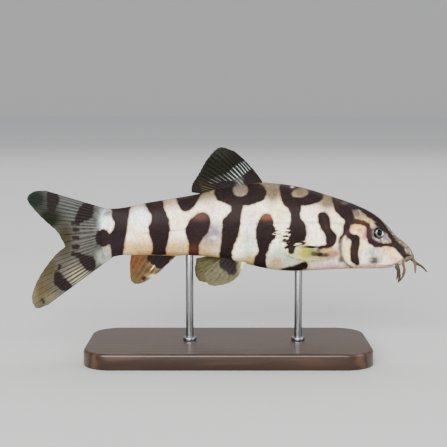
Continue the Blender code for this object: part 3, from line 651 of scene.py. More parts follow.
skin_finish, nodes, links = new_material("wet_barred_skin")
shader = shader_out()
place = object_place()
mark_depth = attribute("marks")
pale_colour = attribute("pale", "Color")
deep_colour = attribute("deep", "Color")
shine = attribute("shine")
broken_value = attribute("broken")
ragged = swing(noise(place, 2200, 2), 0.45)
wander = swing(noise(place, 600, 2), 0.7)
dashes = noise(stretched(place, (0.2, 1, 1)), 2300, 2)
dashes = plus(swing(dashes, 15.0), 0.9)
axes = nodes.new("ShaderNodeSeparateXYZ")
links.new(place, axes.inputs[0])
calm = spread(axes.outputs["X"], 0.026, 0.038, 1.0, 0.3)
edge = plus(mark_depth, times(plus(ragged, wander), calm))
edge = plus(edge, times(dashes, broken_value))
dark = spread(edge, -0.34, 0.38)
halo = spread(edge, -0.9, 0.0, 0.0, 0.30)
cloud = noise(stretched(place, (0.6, 1, 1)), 260, 4)
hue = noise(place, 170, 2)
streak = noise(stretched(place, (1, 1, 0.14)), 2600, 2)
sparkle = noise(place, 1100, 3)
glint_flecks = noise(place, 5200, 2)
tone = pale_colour
for pattern, low_in, high_in, most, colour in (
    (cloud, 0.40, 0.66, 0.7, (0.82, 0.73, 0.62, 1)), (hue, 0.52, 0.70, 0.5, (0.72, 0.70, 0.86, 1)),
    (streak, 0.48, 0.72, 0.65, (0.68, 0.46, 0.40, 1)), (sparkle, 0.58, 0.40, 0.5, (0.66, 0.60, 0.58, 1)),
):
    tone = blend_colour(spread(pattern, low_in, high_in, 0.0, most), tone, colour, "MULTIPLY")
# Painted highlights: small pale flecks that stand in for glints off the scales
tone = blend_colour(spread(glint_flecks, 0.56, 0.78, 0.0, 0.26), tone, (0.92, 0.90, 0.86, 1))
on_cheek = spread(axes.outputs["X"], 0.034, 0.041)
blush = noise(place, 620, 3)
# Pale spots on the cheek are painted highlights that stand in for glints
cheek_glints = noise(stretched(place, (1, 1, 0.6)), 1300, 2)
blush = times(spread(blush, 0.50, 0.66, 0.0, 0.6), on_cheek)
cheek_glints = times(spread(cheek_glints, 0.50, 0.72, 0.0, 0.26), on_cheek)
tone = blend_colour(blush, tone, (0.66, 0.50, 0.50, 1), "MULTIPLY")
tone = blend_colour(cheek_glints, tone, (0.90, 0.88, 0.84, 1))
torn = times(spread(dashes, 0.6, 1.6, 0.0, 0.75), broken_value)
tone = blend_colour(torn, tone, (0.34, 0.31, 0.29, 1), "MULTIPLY")
tone = blend_colour(halo, tone, (0.62, 0.46, 0.34, 1), "MULTIPLY")
ink = blend_colour(spread(cloud, 0.35, 0.7, 0.0, 0.7), deep_colour, (1.9, 1.5, 1.5, 1), "MULTIPLY")
# Painted highlights: small pale flecks on the dark marks that stand in for glints
ink = blend_colour(spread(glint_flecks, 0.50, 0.78, 0.0, 0.26), ink, (0.10, 0.075, 0.075, 1))
links.new(blend_colour(dark, tone, ink), shader.inputs["Base Color"])
scales = nodes.new("ShaderNodeTexVoronoi")
scales.inputs["Scale"].default_value = 2900
scales.inputs["Randomness"].default_value = 0.8
links.new(stretched(place, (0.8, 1, 1.1)), scales.inputs["Vector"])
dome = spread(scales.outputs["Distance"], 0.0, 0.7, 1.0, 0.0)
roughen(shader, plus(times(dome, 0.5), times(cloud, 1.5)), 0.30, 0.00003)
rough = spread(shine, 0.0, 1.0, 0.48, 0.34, False)
rough = plus(rough, times(glint_flecks, 0.12))
links.new(rough, shader.inputs["Roughness"])
varnish(shader, 0.02, 0.02, 0.2)
soften(shader, 0.08, (0.0009, 0.0004, 0.0003))
skin.data.materials.append(skin_finish)
name_bake_map(skin)
bpy.ops.object.shade_smooth()
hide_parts("head", "trunk", "tail", "gill_cover_left", "gill_cover_right")
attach(skin, "root")

# Eyes.
# Small, high on the head, set in a soft rim: a black pupil with a bright silver ring round it
# and a grey outer iris that darkens in broken arcs, all under a clear, wet cornea.

eye_finish, nodes, links = new_material("wet_silver_eye")
shader = shader_out(0.25)
disc = attribute("disc", "Vector")
rays = noise(disc, 4.5, 3)
wavy = plus(length_of(disc), swing(rays, 0.16))
ramp = nodes.new("ShaderNodeValToRGB")
links.new(spread(wavy, 0.0, 2.0, smooth=False), ramp.inputs[0])
stops = (
    (0.0, (4, 4, 5)), (0.41, (5, 5, 6)), (0.445, (48, 48, 46)), (0.48, (122, 122, 116)),
    (0.57, (138, 138, 132)),
    (0.66, (120, 118, 114)), (0.72, (86, 84, 82)), (0.80, (104, 98, 100)), (0.92, (112, 102, 106)),
    (1.0, (92, 82, 86)),
)
while len(ramp.color_ramp.elements) < len(stops):
    ramp.color_ramp.elements.new(0.5)
for element, (where, colour) in zip(ramp.color_ramp.elements, stops):
    element.position = where
    element.color = (*paint(*colour), 1)
arcs = attribute("arcs")
arc_cover = spread(plus(arcs, times(rays, 0.3)), 0.45, 0.75)
dim = attribute("dim")
iris = blend_colour(dim, ramp.outputs[0], (0.30, 0.33, 0.24, 1), "MULTIPLY")
silver = attribute("silver")
iris = blend_colour(spread(silver, 0.3, 0.8), iris, (*paint(232, 232, 226), 1))
links.new(blend_colour(arc_cover, iris, (*paint(18, 16, 18), 1)), shader.inputs["Base Color"])
varnish(shader, 0.05, 0.06, 0.04)
for hand, side_name in ((1, "left"), (-1, "right")):
    eye, sphere = ball(f"eyeball_{side_name}", 72, 48)
    middle, facing = flank_frame(*EYE_PLACE, hand)
    middle = middle - facing * EYE_SINK
    up = np.array([0.0, 0.0, 1.0])
    up = up - facing * (up @ facing)
    up = up / np.linalg.norm(up)
    ahead_way = np.cross(up, facing) * hand
    flat_x, flat_y = sphere[:, 0] * hand, sphere[:, 1]
    swell = 1 + 0.05 * hump(np.hypot(flat_x, flat_y), 0.5)
    points = (
        middle
        + np.outer(flat_x * EYE_RADIUS, ahead_way)
        + np.outer(flat_y * EYE_RADIUS, up)
        + np.outer(sphere[:, 2] * EYE_HALF_DEPTH * swell, facing)
    )
    set_points(eye, points)
    x, y = flat_x * EYE_RADIUS, flat_y * EYE_RADIUS
    layer = eye.data.attributes.new("disc", "FLOAT_VECTOR", "POINT")
    layer.data.foreach_set("vector", np.stack([x, y, np.zeros(len(x))], 1).astype(np.float32).ravel())
    out, turn = np.hypot(x, y), np.arctan2(y, x)
    lower_front = 1.3 * hump(out - 1.52, 0.26) * hump(turn + 0.45, 0.55)
    upper_back = 1.1 * hump(out - 1.5, 0.2) * hump(turn - 2.3, 0.28)
    brow = step_up(y, 1.05, 1.5)
    add_value(eye, "arcs", np.maximum(np.maximum(lower_front, upper_back), brow * 0.85))
    lower_back = hump(out - 1.16, 0.24) * hump(np.abs(turn) - 2.75, 0.65) * (y < 0.35)
    add_value(eye, "silver", np.maximum(lower_back, 0.75 * hump(out - 1.0, 0.14) * hump(turn - 0.5, 0.6)))
    add_value(eye, "dim", 0.75 * step_up(y + 0.25 * x, 0.1, 1.2))
    eye.data.materials.append(eye_finish)
    name_bake_map(eye)
    bpy.ops.object.shade_smooth()
    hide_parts(f"eye_{side_name}")
    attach(eye, "root")

# Fins.
# Thin skin stretched over soft jointed rays that branch towards the margin. The rays are bright
# where the skin is clear; the rest is olive, amber or dark, and the bars run on over the fins.

# Half thickness of the web and of its margin in millimetres, and joints in each ray
WEB_HALF = 0.12
MARGIN_HALF = 0.07
JOINTS_PER_RAY = 26


def fin_path(points):
    """A function of 0 to 1 that runs smoothly through evenly counted points in space."""
    counts = np.linspace(0, 1, len(points))
    axes = [smooth_curve(list(zip(counts, [p[k] for p in points]))) for k in range(3)]
    return lambda t: np.stack([axis(t) for axis in axes], -1)


def ray_relief(across, along, rays, split, bare, thick):
    """How close each place is to a ray, 1 on its crest: rays split slowly in two, then in four."""
    place_on = across * (rays - 1)
    offset = place_on - np.round(place_on)
    first = step_up(along, split, split + 0.45) * 0.21
    second = step_up(along, split + 0.3, split + 0.6) * 0.1
    near = np.full(across.shape, 9.0)
    for one in (-1, 1):
        for two in (-1, 1):
            near = np.minimum(near, np.abs(offset - one * first - two * second))
    width = thick * (1 - 0.45 * step_up(along, 0.2, 0.9))
    return hump(near, width) * step_up(along, bare - 0.2, bare)


def fin_sheet(
    name, root, margin, rays, facing=(0, 1, 0), bow=(0, 0, 0), columns=16, rows=96,
    root_half=0.62, sway=0.1, split=0.42, bare=0.0, thick=0.13,
):
    """A fin as a closed thin sheet with raised rays, and its places across and along."""
    bpy.ops.object.select_all(action="DESELECT")
    bpy.ops.mesh.primitive_grid_add(x_subdivisions=(rays - 1) * columns, y_subdivisions=rows, size=2)
    piece = named(name)
    thicken = piece.modifiers.new("thicken", "SOLIDIFY")
    thicken.thickness = 0.1
    thicken.offset = 0
    bpy.ops.object.modifier_apply(modifier="thicken")
    sheet = points_of(piece)
    across, along = (sheet[:, 0] + 1) / 2, (sheet[:, 1] + 1) / 2
    face = np.sign(sheet[:, 2])
    root, margin = (path if callable(path) else fin_path(path) for path in (root, margin))
    middle = root(across) * (1 - along[:, None]) + margin(across) * along[:, None]
    middle = middle + np.outer(4 * along * (1 - along) * (1 - across) ** 2, bow)
    crest = ray_relief(across, along, rays, split, bare, thick)
    scallop = 0.12 * (0.5 - 0.5 * np.cos(2 * math.pi * across * (rays - 1))) * step_up(along, 0.9, 1.0)
    inward = (root(across) - middle) / np.linalg.norm(root(across) - middle, axis=1)[:, None].clip(1)
    middle = middle + inward * scallop[:, None]
    joints = 0.85 + 0.15 * np.cos(along * 2 * math.pi * JOINTS_PER_RAY)
    half = WEB_HALF + (root_half - WEB_HALF) * (1 - np.minimum(1, along / 0.42)) ** 2
    half = half + crest * (0.06 * (1 - along) ** 0.7 + 0.025) * joints
    rim = np.minimum(1, np.minimum(across, 1 - across) * (rays - 1) * 3)
    half = np.where(along > 0.985, MARGIN_HALF, half * (0.25 + 0.75 * np.sqrt(rim * (2 - rim))))
    out = np.array(facing, float) / np.linalg.norm(facing)
    flutter = sway * np.sin(across * 9 + along * 3) * along ** 2
    world = np.stack([SNOUT_X - middle[:, 0], middle[:, 1], BELLY_Z + middle[:, 2]], 1)
    world = world + out * (half * face + flutter)[:, None]
    set_points(piece, world)
    face_outwards(piece)
    bpy.ops.object.shade_smooth()
    return piece, across, along, crest, world


def face_outwards(piece):
    """Turns the faces of a closed mesh round if they point inwards, where its signed volume is below 0."""
    piece.data.calc_loop_triangles()
    corners = np.empty(len(piece.data.loop_triangles) * 3, int)
    piece.data.loop_triangles.foreach_get("vertices", corners)
    a, b, c = (points_of(piece)[corners.reshape(-1, 3)[:, k]] for k in range(3))
    if np.sum(a * np.cross(b, c)) < 0:
        bpy.ops.object.mode_set(mode="EDIT")
        bpy.ops.mesh.select_all(action="SELECT")
        bpy.ops.mesh.flip_normals()
        bpy.ops.object.mode_set(mode="OBJECT")


fin_finish, nodes, links = new_material("rayed_fin_skin")
shader = shader_out(0.36)
place = object_place()
mark_depth = attribute("marks")
web_colour = attribute("web", "Color")
ray_colour = attribute("ray", "Color")
crest_value = attribute("crest")
deep_colour = attribute("deep", "Color")
blotch = noise(place, 900, 4)
fine = noise(place, 4200, 3)
edge = plus(mark_depth, swing(fine, 0.7))
edge = plus(edge, swing(blotch, 1.2))
dark = spread(edge, -0.3, 0.4)
web = blend_colour(spread(blotch, 0.35, 0.7, 0.0, 0.8), web_colour, (0.50, 0.47, 0.42, 1), "MULTIPLY")
web = blend_colour(spread(fine, 0.55, 0.8, 0.0, 0.8), web, (1.4, 1.4, 1.35, 1), "MULTIPLY")
crest_cover = spread(plus(crest_value, times(fine, 0.25)), 0.35, 1.05)
lit = blend_colour(crest_cover, web, ray_colour)
ink = blend_colour(times(crest_cover, 0.012), deep_colour, (0.25, 0.20, 0.20, 1))
links.new(blend_colour(dark, lit, ink), shader.inputs["Base Color"])
roughen(shader, fine, 0.3, 0.00004)
varnish(shader, 0.02, 0.01, 0.2)
soften(shader, 0.1, (0.0008, 0.0006, 0.0004))


def dress_fin(
    piece, node, parts, marks, web_tints, ray_tints, deep_colour, spots=(), band=(),
):
    """Colours a fin by where its places show from the side, and puts it in place of its solid."""
    across, along, crest, world = parts
    back, height = seen(world)
    depth = strokes(back, height, marks + BARS)
    if spots:
        depth = np.minimum(depth, -ovals(back, height, spots))
    web, ray = (
        tinted_patches(np.tile(paint(*plain), (len(world), 1)), back, height, patches)
        for plain, patches in (web_tints, ray_tints)
    )
    if band:
        lit = step_up(strokes(back, height, band), -0.35, 0.35)
        lit = lit * (1 - 0.55 * step_up(back, 55.5, 60.0))
        ray = tinted(ray, lit * step_up(crest, 0.4, 0.8), paint(196, 200, 198))
        web = tinted(web, lit * 0.7, paint(66, 72, 68))
    add_value(piece, "marks", np.clip(depth, -4, 4))
    add_colour(piece, "web", web)
    add_colour(piece, "ray", ray)
    add_colour(piece, "deep", np.tile(paint(*deep_colour), (len(world), 1)))
    add_value(piece, "crest", crest)
    piece.data.materials.append(fin_finish)
    name_bake_map(piece)
    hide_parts(*([node] if isinstance(node, str) else node))
    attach(piece, "root")


# The back fin: a tall triangle, dark at its front foot, a band of bright rays, olive beyond
piece, *parts = fin_sheet(
    "back_fin",
    [(46.5, 0, 26.4), (50.5, 0, 26.0), (54.6, 0, 25.3), (58.6, 0, 24.4), (62.4, 0, 23.6)],
    [(56.3, 0, 37.4), (60.7, 0, 38.4), (64.4, 0, 34.9), (66.9, 0, 30.6), (69.1, 0, 27.0), (69.4, 0, 24.5)],
    19, columns=10, bow=(-0.5, 0, 0.6), split=0.72, thick=0.17,
)
dress_fin(
    piece, "dorsal_fin", parts,
    (((47.4, 27.7, 2.1), (49.6, 28.6, 2.6), (51.2, 28.2, 2.2)), ((59.6, 26.4, 1.9), (56.8, 26.4, 1.8))),
    ((34, 34, 26), ((54.5, 27.5, 1.8, 1.6, 0.95, (112, 112, 106)), (66.5, 27.0, 3.0, 1.8, 0.7, (66, 56, 32)),
                    (59.5, 37.0, 3.4, 2.0, 0.6, (56, 64, 56)), (56.5, 35.0, 3.0, 1.8, 0.5, (34, 28, 26)),
                    (62.5, 31.5, 3.0, 2.0, 0.5, (34, 34, 24)))),
    ((46, 48, 37),
     ((54.3, 27.6, 1.6, 1.6, 0.9, (172, 176, 170)), (66.0, 25.6, 3.4, 1.1, 0.9, (150, 146, 108)),
                    (60.5, 36.5, 3.6, 2.0, 0.6, (70, 78, 68)))),
    (40, 33, 32), spots=PALE_SPOTS[:1],
    band=(
        ((51.9, 33.1, 1.7), (53.6, 31.9, 1.7), (55.2, 30.8, 1.7), (58.1, 28.9, 1.4), (60.6, 28.5, 1.1),
         (63.2, 27.9, 0.8)),
    ),
)

# The anal fin: amber behind, a dark foot in front and a white leading edge
piece, *parts = fin_sheet(
    "anal_fin_skin",
    [(73.3, 0, 5.7), (81.1, 0, 6.0), (88.1, 0, 6.1)],
    [(82.0, 0, -2.4), (84.8, 0, -3.9), (87.0, 0, -4.2), (88.3, 0, -3.1), (88.6, 0, -0.5), (88.6, 0, 2.4)],
    8, bow=(-0.25, 0, -0.3),
)
dress_fin(
    piece, "anal_fin", parts,
    (((81.0, 4.4, 2.2), (78.5, 3.9, 2.6), (77.0, 4.7, 1.6), (79.1, 1.9, 1.4)),
     ((84.4, -2.3, 0.5), (84.0, -2.0, 0.5))),
    ((140, 110, 76), ((86.7, 3.2, 1.9, 3.4, 1.0, (160, 102, 58)), (83.4, 0.4, 2.6, 2.4, 0.8, (142, 108, 72)),
                       (87.0, -3.0, 1.9, 1.5, 0.95, (128, 116, 66)),
                       (84.4, -2.3, 0.8, 0.7, 0.8, (176, 104, 62)),
                       (76.4, 1.9, 3.4, 1.1, 0.95, (226, 224, 216)),
                       (80.0, -1.6, 2.6, 0.7, 0.95, (206, 200, 188)))),
    ((152, 122, 86), ((86.7, 3.2, 1.9, 3.4, 0.9, (170, 112, 66)), (87.0, -3.0, 1.9, 1.5, 0.9, (144, 132, 84)),
                       (76.4, 1.9, 3.4, 1.1, 1.0, (240, 240, 234)),
                       (80.0, -1.6, 2.6, 0.7, 1.0, (226, 222, 212)),
                       (81.4, 1.4, 0.7, 1.5, 0.9, (226, 218, 200)))),
    (48, 38, 38),
)

# The tail fin: two pointed lobes, bright rays between dark blotches, green grey and olive at the tips
TAIL_MARKS = (
    ((112.4, 24.6, 1.9), (112.4, 22.1, 1.9), (112.7, 20.2, 1.4), (112.6, 18.0, 0.8)),
    ((101.5, 19.6, 2.0), (102.5, 18.0, 2.3), (103.9, 16.5, 1.4), (104.8, 15.2, 0.9)),
    ((106.4, 15.0, 0.6), (104.3, 15.0, 0.6)), ((105.9, 12.8, 0.7), (104.8, 12.8, 0.7)),
    ((106.0, 10.4, 0.6), (104.8, 10.4, 0.6)), ((105.8, 7.6, 0.8), (104.8, 7.6, 0.8)),
    ((106.1, 5.3, 0.7), (104.3, 5.0, 0.7)),
    ((104.0, 4.5, 0.9), (102.8, 3.6, 1.5), (101.2, 2.5, 2.1), (100.6, 1.4, 1.6)),
    ((110.9, -1.4, 1.3), (110.4, -3.1, 1.7), (108.7, -4.5, 1.7), (107.5, -5.1, 1.2)),
    ((110.4, 1.6, 0.6), (110.4, 1.1, 0.6)), ((115.7, -8.9, 0.5), (115.2, -9.8, 0.4)),
)
TAIL_WEB = (
    (106, 104, 97),
    ((95.6, 15.2, 2.9, 3.6, 1.0, (228, 234, 240)), (96.3, 4.4, 3.0, 2.6, 1.0, (176, 184, 174)),
     (100.4, 15.8, 2.0, 2.6, 0.9, (116, 119, 110)), (101.4, 10.8, 2.4, 4.0, 0.7, (100, 99, 95)),
     (107.2, 19.0, 3.8, 3.8, 0.8, (96, 98, 98)), (117.8, 22.3, 3.2, 3.4, 1.0, (36, 46, 40)),
     (113.4, 16.5, 3.6, 3.2, 1.0, (34, 38, 28)), (108.8, 10.0, 2.4, 4.6, 0.95, (66, 61, 44)),
     (110.0, 6.4, 2.4, 2.4, 0.8, (76, 71, 50)), (114.0, 1.2, 3.0, 3.4, 1.0, (90, 82, 56)),
     (115.8, -6.0, 3.4, 5.0, 1.0, (110, 98, 68)), (105.0, 0.0, 4.0, 3.4, 0.9, (112, 106, 88)),
     (112.5, -8.6, 3.0, 1.6, 0.8, (150, 142, 118)), (118.4, -8.0, 1.2, 3.6, 0.7, (156, 146, 116))),
)
TAIL_RAY = (
    (138, 136, 130),
    ((95.6, 15.2, 2.9, 3.6, 0.9, (234, 238, 242)), (101.4, 10.8, 2.4, 4.0, 0.7, (142, 140, 134)),
     (107.2, 19.0, 3.8, 3.8, 0.9, (140, 142, 142)), (117.8, 22.3, 3.2, 3.4, 1.0, (40, 52, 45)),
     (113.4, 16.5, 3.6, 3.2, 1.0, (40, 44, 33)), (108.8, 10.0, 2.4, 4.6, 0.9, (78, 73, 53)),
     (110.0, 6.4, 2.4, 2.4, 0.8, (106, 100, 74)), (114.0, 1.2, 3.0, 3.4, 1.0, (106, 97, 67)),
     (115.8, -6.0, 3.4, 5.0, 1.0, (126, 113, 80)), (104.2, -1.4, 3.4, 2.8, 0.95, (190, 185, 166)),
     (112.5, -8.6, 3.0, 1.6, 0.8, (164, 156, 130)), (118.4, -8.0, 1.2, 3.6, 0.7, (166, 156, 126))),
)


def joined(first, second):
    """One path through two that meet, the first up to a half."""
    upper, lower = fin_path(first), fin_path(second)

    def place(t):
        return np.where((t < 0.5)[:, None], upper(np.clip(2 * t, 0, 1)), lower(np.clip(2 * t - 1, 0, 1)))

    return place


piece, *parts = fin_sheet(
    "tail_fin",
    joined(
        [(94.0, 0, 18.9), (94.9, 0, 15.4), (95.2, 0, 11.55)],
        [(95.2, 0, 11.55), (94.9, 0, 7.2), (93.4, 0, 4.6)],
    ),
    joined(
        [(114.6, 0, 25.1), (118.4, 0, 24.7), (120.3, 0, 22.4), (117.9, 0, 18.8), (114.5, 0, 15.3),
         (111.2, 0, 12.2), (108.7, 0, 7.6)],
        [(108.7, 0, 7.6), (111.4, 0, 5.4), (114.2, 0, 2.1), (116.8, 0, -1.7), (118.7, 0, -5.7),
         (119.4, 0, -9.2),
         (117.9, 0, -11.9), (114.3, 0, -10.8)],
    ),
    25, columns=11, rows=120, sway=0.06, split=0.3, bare=0.3, thick=0.24,
)
dress_fin(
    piece, ("caudal_fin_upper", "caudal_fin_lower"), parts, TAIL_MARKS, TAIL_WEB, TAIL_RAY, (44, 35, 34),
)

# The pelvic fins: rounded olive fans with a dark blotch at the front foot and a pale margin
near_root = [(51.6, -2.2, 3.8), (55.2, -2.3, 4.7), (58.6, -2.2, 5.6)]
far_root = [(53.3, 2.2, 4.2), (56.0, 2.3, 4.9), (58.6, 2.2, 5.6)]
near_margin = [
    (54.9, -3.2, -1.3), (56.7, -3.5, -2.8), (59.3, -3.8, -3.8), (62.3, -3.9, -4.2), (64.5, -3.8, -3.4),
    (65.4, -3.5, -0.4),
]
far_margin = [
    (57.8, 3.4, -3.3), (60.9, 3.7, -4.3), (64.6, 3.9, -4.4), (67.4, 3.9, -3.6), (68.5, 3.8, -0.6),
    (68.0, 3.5, 3.4),
]
for side_name, root, margin in (("right", near_root, near_margin), ("left", far_root, far_margin)):
    piece, *parts = fin_sheet(f"pelvic_fin_skin_{side_name}", root, margin, 8, rows=64, root_half=0.55)
    dress_fin(
        piece, f"pelvic_fin_{side_name}", parts,
        (((58.6, 4.0, 2.0), (58.0, 2.5, 2.2), (56.9, 0.6, 1.8)),),
        ((144, 138, 104),
         ((53.0, 1.5, 1.2, 3.8, 0.95, (216, 210, 188)), (66.5, 1.0, 2.4, 4.0, 0.5, (140, 136, 92)),
                          (61.0, -4.2, 6.0, 0.8, 0.7, (164, 160, 128)),
                          (61.4, 1.0, 1.6, 2.6, 0.5, (148, 144, 112)),
                          (64.5, 3.6, 3.2, 1.0, 0.5, (142, 134, 84)))),
        ((152, 148, 114),
         ((53.0, 1.5, 1.2, 3.8, 0.95, (228, 224, 206)), (61.2, 0.8, 1.2, 2.2, 0.6, (168, 164, 134)))),
        (46, 38, 36),
    )

# The pectoral fins: held out low behind the gills, clear and yellowish with a fleshy foot
pectoral_root = [(24.0, -4.7, 4.9), (25.0, -4.8, 5.9), (26.0, -4.9, 6.9)]
pectoral_margin = [
    (34.2, -13.6, 5.0), (38.0, -13.1, 5.9), (40.6, -11.9, 6.9), (40.9, -10.5, 7.9), (38.6, -9.3, 8.8),
    (33.8, -8.4, 9.2),
]
for hand, side_name in ((1, "left"), (-1, "right")):
    root = [(b, -hand * s, h) for b, s, h in pectoral_root]
    margin = [(b, -hand * s, h) for b, s, h in pectoral_margin]
    piece, *parts = fin_sheet(
        f"pectoral_fin_skin_{side_name}", root, margin, 11, facing=(-0.35, -0.68 * hand, -0.6),
        rows=72, root_half=0.6, sway=0.05, bare=0.25,
    )
    dress_fin(
        piece, f"pectoral_fin_{side_name}", parts, (),
        # The foot's colours, with its painted shadow slit, are laid on the fin's web and rays as well
        ((196, 194, 158),
         ((34.0, 5.6, 1.5, 1.6, 0.9, (196, 192, 122)), (35.8, 7.8, 1.7, 1.5, 0.9, (204, 184, 128)),
                           (38.4, 7.0, 2.0, 2.6, 0.7, (214, 214, 190))) + PECTORAL_FOOT_AND_SLIT_SHADOW),
        ((216, 216, 194), ((34.0, 5.6, 1.5, 1.6, 0.8, (210, 208, 146)),) + PECTORAL_FOOT_AND_SLIT_SHADOW),
        (60, 48, 44),
    )

# Barbels.
# Eight soft feelers round the small mouth: two pairs from the tip of the snout, one pair from
# the corners of the mouth and a short pair under the chin, tan, ringed with fine wrinkles.

barbel_finish, nodes, links = new_material("soft_tan_feeler")
shader = shader_out(0.38)
place = object_place()
feeler_colour = attribute("tone", "Color")
mottle = noise(place, 2400, 3)
tan = blend_colour(spread(mottle, 0.42, 0.72, 0.0, 0.5), feeler_colour, (0.60, 0.48, 0.36, 1), "MULTIPLY")
links.new(tan, shader.inputs["Base Color"])
roughen(shader, mottle, 0.5, 0.00004)
varnish(shader, 0.1, 0.05, 0.2)
soften(shader, 0.3, (0.0010, 0.0005, 0.0003))

hanging = [
    (1.0, -0.9, 4.1), (0.2, -0.95, 3.2), (-0.2, -1.0, 2.3), (-0.3, -1.0, 1.3), (-0.3, -1.0, 0.3),
    (-0.35, -1.0, -0.7),
]
reaching = [
    (1.0, 0.9, 4.1), (0.1, 0.95, 3.2), (-0.8, 1.0, 2.3), (-1.8, 1.2, 1.7), (-2.8, 1.5, 1.05),
    (-3.7, 1.8, 0.2), (-4.6, 1.95, -0.8),
]
swept_right = [
    (1.3, -1.0, 4.7), (0.9, -2.2, 4.5), (1.9, -3.3, 4.5), (3.1, -3.9, 4.3), (4.0, -4.3, 3.6),
    (4.15, -4.5, 2.6), (3.75, -4.6, 1.5),
    (3.65, -4.6, 0.4), (4.0, -4.4, -0.8), (4.5, -4.2, -1.8), (5.1, -4.1, -2.8),
]
swept_left = [
    (1.3, 1.0, 4.7), (0.9, 2.2, 4.5), (1.5, 3.2, 4.2), (2.2, 3.9, 3.5), (2.6, 4.2, 2.5), (2.5, 4.3, 1.4),
    (2.3, 4.3, 0.3),
    (2.4, 4.2, -0.9), (2.9, 4.0, -2.0),
]
corner_right = [
    (6.2, -2.2, 3.2), (5.7, -2.8, 2.1), (5.25, -3.0, 1.0), (5.0, -3.0, -0.1), (4.9, -3.0, -1.2),
    (5.0, -2.9, -2.3), (5.25, -2.7, -3.4),
]
corner_left = [
    (6.2, 2.2, 3.2), (5.7, 2.8, 2.1), (5.0, 3.0, 1.0), (4.5, 3.0, -0.1), (4.4, 3.0, -1.2), (4.6, 2.8, -2.3),
    (4.9, 2.7, -3.3),
]
chin_right = [(5.6, -1.0, 2.6), (5.4, -1.05, 0.9), (5.0, -1.15, 0.1), (4.5, -1.2, -0.7)]
arch_tones = (
    (162, 150, 116), (158, 150, 120), (152, 142, 110), (166, 132, 92), (168, 124, 82), (128, 110, 82),
    (122, 110, 86),
)
hanging_tones = ((158, 142, 112), (164, 142, 110), (166, 140, 110), (178, 144, 120))
reaching_tones = ((150, 134, 104), (124, 108, 84), (112, 98, 78), (112, 104, 84), (118, 118, 100))
chin_tones = ((186, 160, 136), (172, 150, 122), (160, 140, 112))
olive_tones = ((150, 132, 104), (112, 104, 76), (98, 94, 66), (92, 86, 62), (106, 96, 72))
# Each feeler: its path, thickness, how much its root swells, and its colours from root to tip
BARBELS = (
    ("snout_inner_right", hanging, 1.0, 0.35, hanging_tones),
    ("snout_inner_left", reaching, 1.0, 0.35, reaching_tones),
    ("snout_outer_right", swept_right, 1.05, 0.1, arch_tones),
    ("snout_outer_left", swept_left, 1.05, 0.1, arch_tones),
    ("corner_right", corner_right, 1.05, 0.1, olive_tones),
    ("corner_left", corner_left, 1.05, 0.1, olive_tones),
    ("chin_right", chin_right, 0.85, 0.1, chin_tones),
    ("chin_left", [(b, -s, h) for b, s, h in chin_right], 0.85, 0.1, chin_tones),
)
for name, path, thick, flare, tones in BARBELS:
    piece, sphere = ball(f"feeler_{name}", 20, 72)
    t = np.arccos(np.clip(sphere[:, 2], -1, 1)) / math.pi
    line = fin_path(path)
    spot = line(t)
    way = line(np.minimum(1, t + 0.01)) - line(np.maximum(0, t - 0.01))
    way = way / np.linalg.norm(way, axis=1)[:, None]
    over = np.cross(way, np.array([0.13, 0.21, 0.97]))
    over = over / np.linalg.norm(over, axis=1)[:, None]
    beside = np.cross(way, over)
    taper = thick / 2 * (1 - 0.4 * t - 0.25 * t ** 8)
    radius = taper * (1 + flare * hump(t, 0.3)) * (1 + 0.03 * np.sin(t * 90))
    radius = radius * np.sqrt(np.maximum(0, 1 - (2 * t - 1) ** 40))
    around = np.arctan2(sphere[:, 1], sphere[:, 0])
    mid = spot + radius[:, None] * (np.cos(around)[:, None] * over + np.sin(around)[:, None] * beside)
    set_points(piece, np.stack([SNOUT_X - mid[:, 0], mid[:, 1], BELLY_Z + mid[:, 2]], 1))
    face_outwards(piece)
    add_colour(piece, "tone", np.clip(fin_path([tuple(paint(*tone)) for tone in tones])(t), 0.003, 0.92))
    piece.data.materials.append(barbel_finish)
    name_bake_map(piece)
    bpy.ops.object.shade_smooth()
    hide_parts(f"barbel_{name}")
    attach(piece, "root")

# Stand base.
# A plain plinth of dark, straight-grained wood with rounded corners and a softly eased rim,
# sanded smooth and finished in satin varnish.

# Length, width and height in metres, and how far the corners and the rim are rounded, in millimetres
PLINTH_SIZE = (0.088, 0.040, 0.005)
CORNER_ROUNDING = 9
RIM_ROUNDING = 0.8
FOOT_ROUNDING = 0.3

wood_finish, nodes, links = new_material("dark_satin_wood")
shader = shader_out(0.34)
place = object_place()
grain_place = stretched(place, (14, 160, 160))
warp = noise(grain_place, 1.2, 4)
ring_lines = nodes.new("ShaderNodeTexWave")
ring_lines.bands_direction = "Y"
ring_lines.inputs["Scale"].default_value = 0.9
ring_lines.inputs["Distortion"].default_value = 5.0
ring_lines.inputs["Detail"].default_value = 4.0
ring_lines.inputs["Detail Scale"].default_value = 1.2
links.new(grain_place, ring_lines.inputs["Vector"])
pores = noise(stretched(place, (90, 2200, 2200)), 1.0, 3)
grain = plus(times(ring_lines.outputs["Fac"], 0.6), times(warp, 0.5))
wood_tone = blend_colour(spread(grain, 0.2, 0.85), (*paint(62, 40, 28), 1), (*paint(112, 76, 50), 1))
wood_tone = blend_colour(spread(pores, 0.58, 0.75, 0.0, 0.6), wood_tone, (*paint(34, 20, 14), 1))
links.new(wood_tone, shader.inputs["Base Color"])
roughen(shader, maths("SUBTRACT", grain, pores), 0.25, 0.00005)
links.new(spread(grain, 0.2, 0.9, 0.30, 0.42), shader.inputs["Roughness"])
varnish(shader, 0.3, 0.12, 0.25)

bpy.ops.object.select_all(action="DESELECT")
bpy.ops.mesh.primitive_cube_add(size=1, location=(0, 0, PLINTH_SIZE[2] / 2))
base = named("plinth")
base.scale = PLINTH_SIZE
bpy.ops.object.transform_apply(location=True, rotation=True, scale=True)


